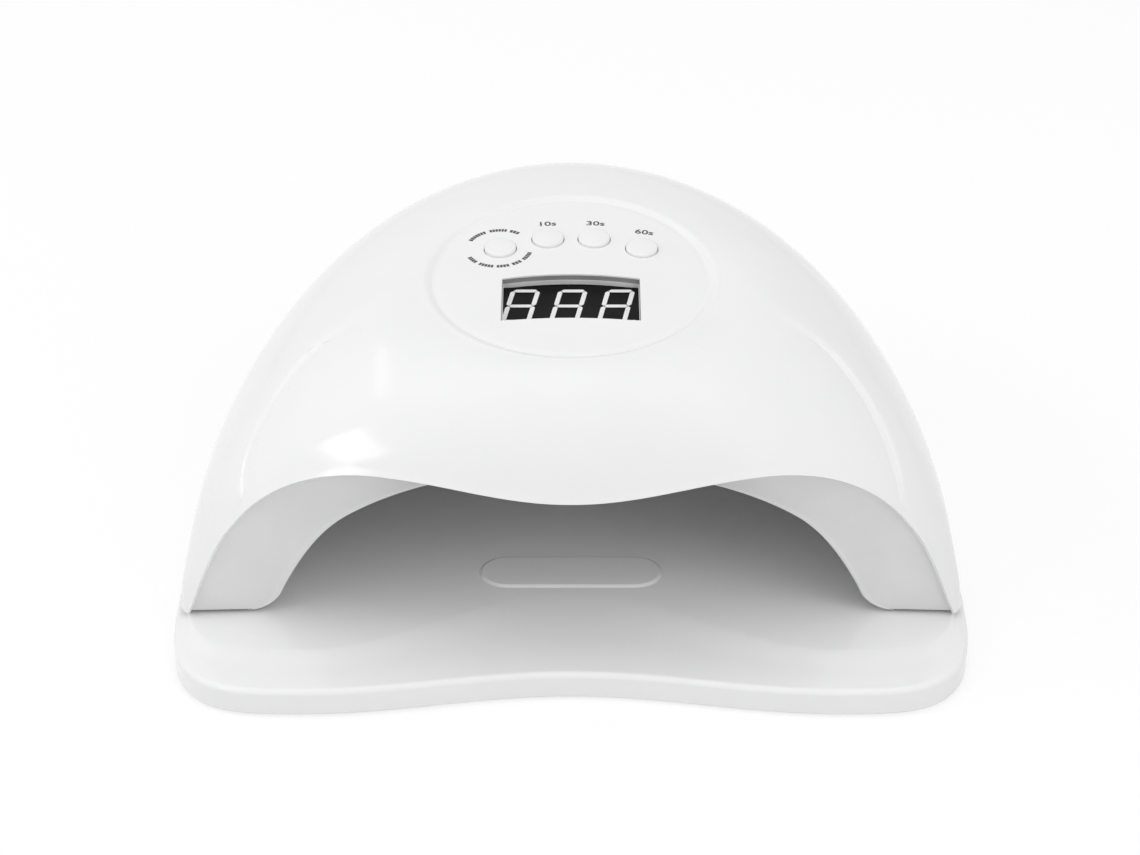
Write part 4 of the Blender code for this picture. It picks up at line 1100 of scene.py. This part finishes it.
nodeFinishes = {
    "glossWhite": ("tray_floor",), "footRubber": ("rubber_foot",), "greenBoard": ("control_board",),
    "redWire": ("led_lead",), "nickelPlate": ("tray_magnet", "lamp_magnet"),
    "blackMoulding": ("controller_chip", "buzzer", "power_lead", "tact_switch"),
    "platedSteel": ("tray_screw", "capacitor", "switch_plunger", "board_screw", "case_screw"),
}
for nodeName, node in frame["nodes"].items():
    if node.hide_render:
        continue
    found = [name for name, words in nodeFinishes.items() if nodeName.startswith(words)]
    node.data.materials.clear()
    node.data.materials.append(finishes[found[0]])
print("frame nodes dressed")


studio = {
    "floorTone": 0.8, "floorGlow": 0.745, "floorShadow": 0.27, "floorSize": 4.0, "floorDrop": 0.0001,
    "ambient": 0.4, "target": (0, 0, 0.04),
    "lamps": {
        "keyLight": {"place": (-1.06, -1.05, 1.07), "size": (0.42, 0.9), "power": 3.6,
                     "target": (-1.06, -1.05, 0), "mirrored": True},
        "slimLight": {"place": (-0.56, 0.28, 1.07), "size": (0.07, 0.85), "power": 0.24,
                      "target": (-0.56, 0.28, 0), "turn": -9, "mirrored": True},
        "topLight": {"place": (0, 0.1, 1.9), "size": (1.8, 1.8), "power": 10.6},
        "leftLight": {"place": (-1.9, 0, 0.9), "size": (1.4, 1.4), "power": 10.9},
        "frontLight": {"place": (0, -1.9, 1.0), "size": (1.6, 1.6), "power": 5.8},
        "rightLight": {"place": (1.3, -1.1, 1.3), "size": (1.5, 1.5), "power": 11.0},
    },
}


def mixSeen(tree, unseen, shown, output):
    # shown to the camera, in mirror images and through glass; unseen where it only gives light
    path = addNode(tree, "ShaderNodeLightPath").outputs
    seen = path["Is Camera Ray"]
    for kind in ("Is Glossy Ray", "Is Transmission Ray"):
        seen = addNode(tree, "ShaderNodeMath", {0: seen, 1: path[kind]}, operation="MAXIMUM").outputs[0]
    mix = addNode(tree, "ShaderNodeMixShader", {0: seen, 1: unseen.outputs[0], 2: shown.outputs[0]})
    addNode(tree, output, {"Surface": mix.outputs[0]})


def grey(tone):
    return tone, tone, tone, 1


def makeFloor():
    bm = bmesh.new()
    # a hair under the feet, so the two never share a plane
    under = Matrix.Translation((0, 0, -studio["floorDrop"]))
    bmesh.ops.create_grid(bm, x_segments=2, y_segments=2, size=studio["floorSize"], matrix=under)
    floor = toObject(bm, "floor")
    material = bpy.data.materials.new("floorPaint")
    material.use_nodes = True
    tree = material.node_tree
    tree.nodes.clear()
    matt = addNode(tree, "ShaderNodeBsdfDiffuse", {"Color": grey(studio["floorTone"])})
    soft = addNode(tree, "ShaderNodeBsdfDiffuse", {"Color": grey(studio["floorShadow"])})
    glow = addNode(tree, "ShaderNodeEmission", {"Color": grey(1), "Strength": studio["floorGlow"]})
    lit = addNode(tree, "ShaderNodeAddShader", {0: soft.outputs[0], 1: glow.outputs[0]})
    mixSeen(tree, matt, lit, "ShaderNodeOutputMaterial")
    floor.data.materials.append(material)


def makeWorld():
    world = bpy.data.worlds.new("studio")
    world.use_nodes = True
    tree = world.node_tree
    tree.nodes.clear()
    room = addNode(tree, "ShaderNodeBackground", {"Color": grey(1), "Strength": studio["ambient"]})
    white = addNode(tree, "ShaderNodeBackground", {"Color": grey(1), "Strength": 1.0})
    mixSeen(tree, room, white, "ShaderNodeOutputWorld")
    bpy.context.scene.world = world


def areaLamp(name, lamp):
    light = bpy.data.lights.new(name, "AREA")
    light.shape = "RECTANGLE"
    light.size, light.size_y = lamp["size"]
    light.energy = lamp["power"]
    holder = addObject(name, light)
    holder.location = lamp["place"]
    towards = Vector(lamp.get("target", studio["target"])) - Vector(lamp["place"])
    aim = towards.to_track_quat("-Z", "Y").to_matrix()
    holder.rotation_euler = (aim @ Matrix.Rotation(radians(lamp.get("turn", 0)), 3, "Z")).to_euler()
    holder.visible_glossy = lamp.get("mirrored", False)


view = {"elevation": radians(30), "distance": 0.9, "target": Vector((0, -0.006, 0.038))}
lens = {"lens": 101.88, "sensor_width": 36, "shift_x": -1 / 1140, "shift_y": -0.01605, "clip_start": 0.01}


def makeCamera():
    back = Vector((0, -cos(view["elevation"]), sin(view["elevation"])))
    data = bpy.data.cameras.new("view")
    setAll(data, lens)
    camera = addObject("view", data)
    camera.location = view["target"] + back * view["distance"]
    camera.rotation_euler = (quarter - view["elevation"], 0, 0)
    bpy.context.scene.camera = camera


makeFloor()
makeWorld()
for lampName, lampSettings in studio["lamps"].items():
    areaLamp(lampName, lampSettings)
makeCamera()
bpy.context.scene.view_settings.view_transform = "Standard"
print("studio made")
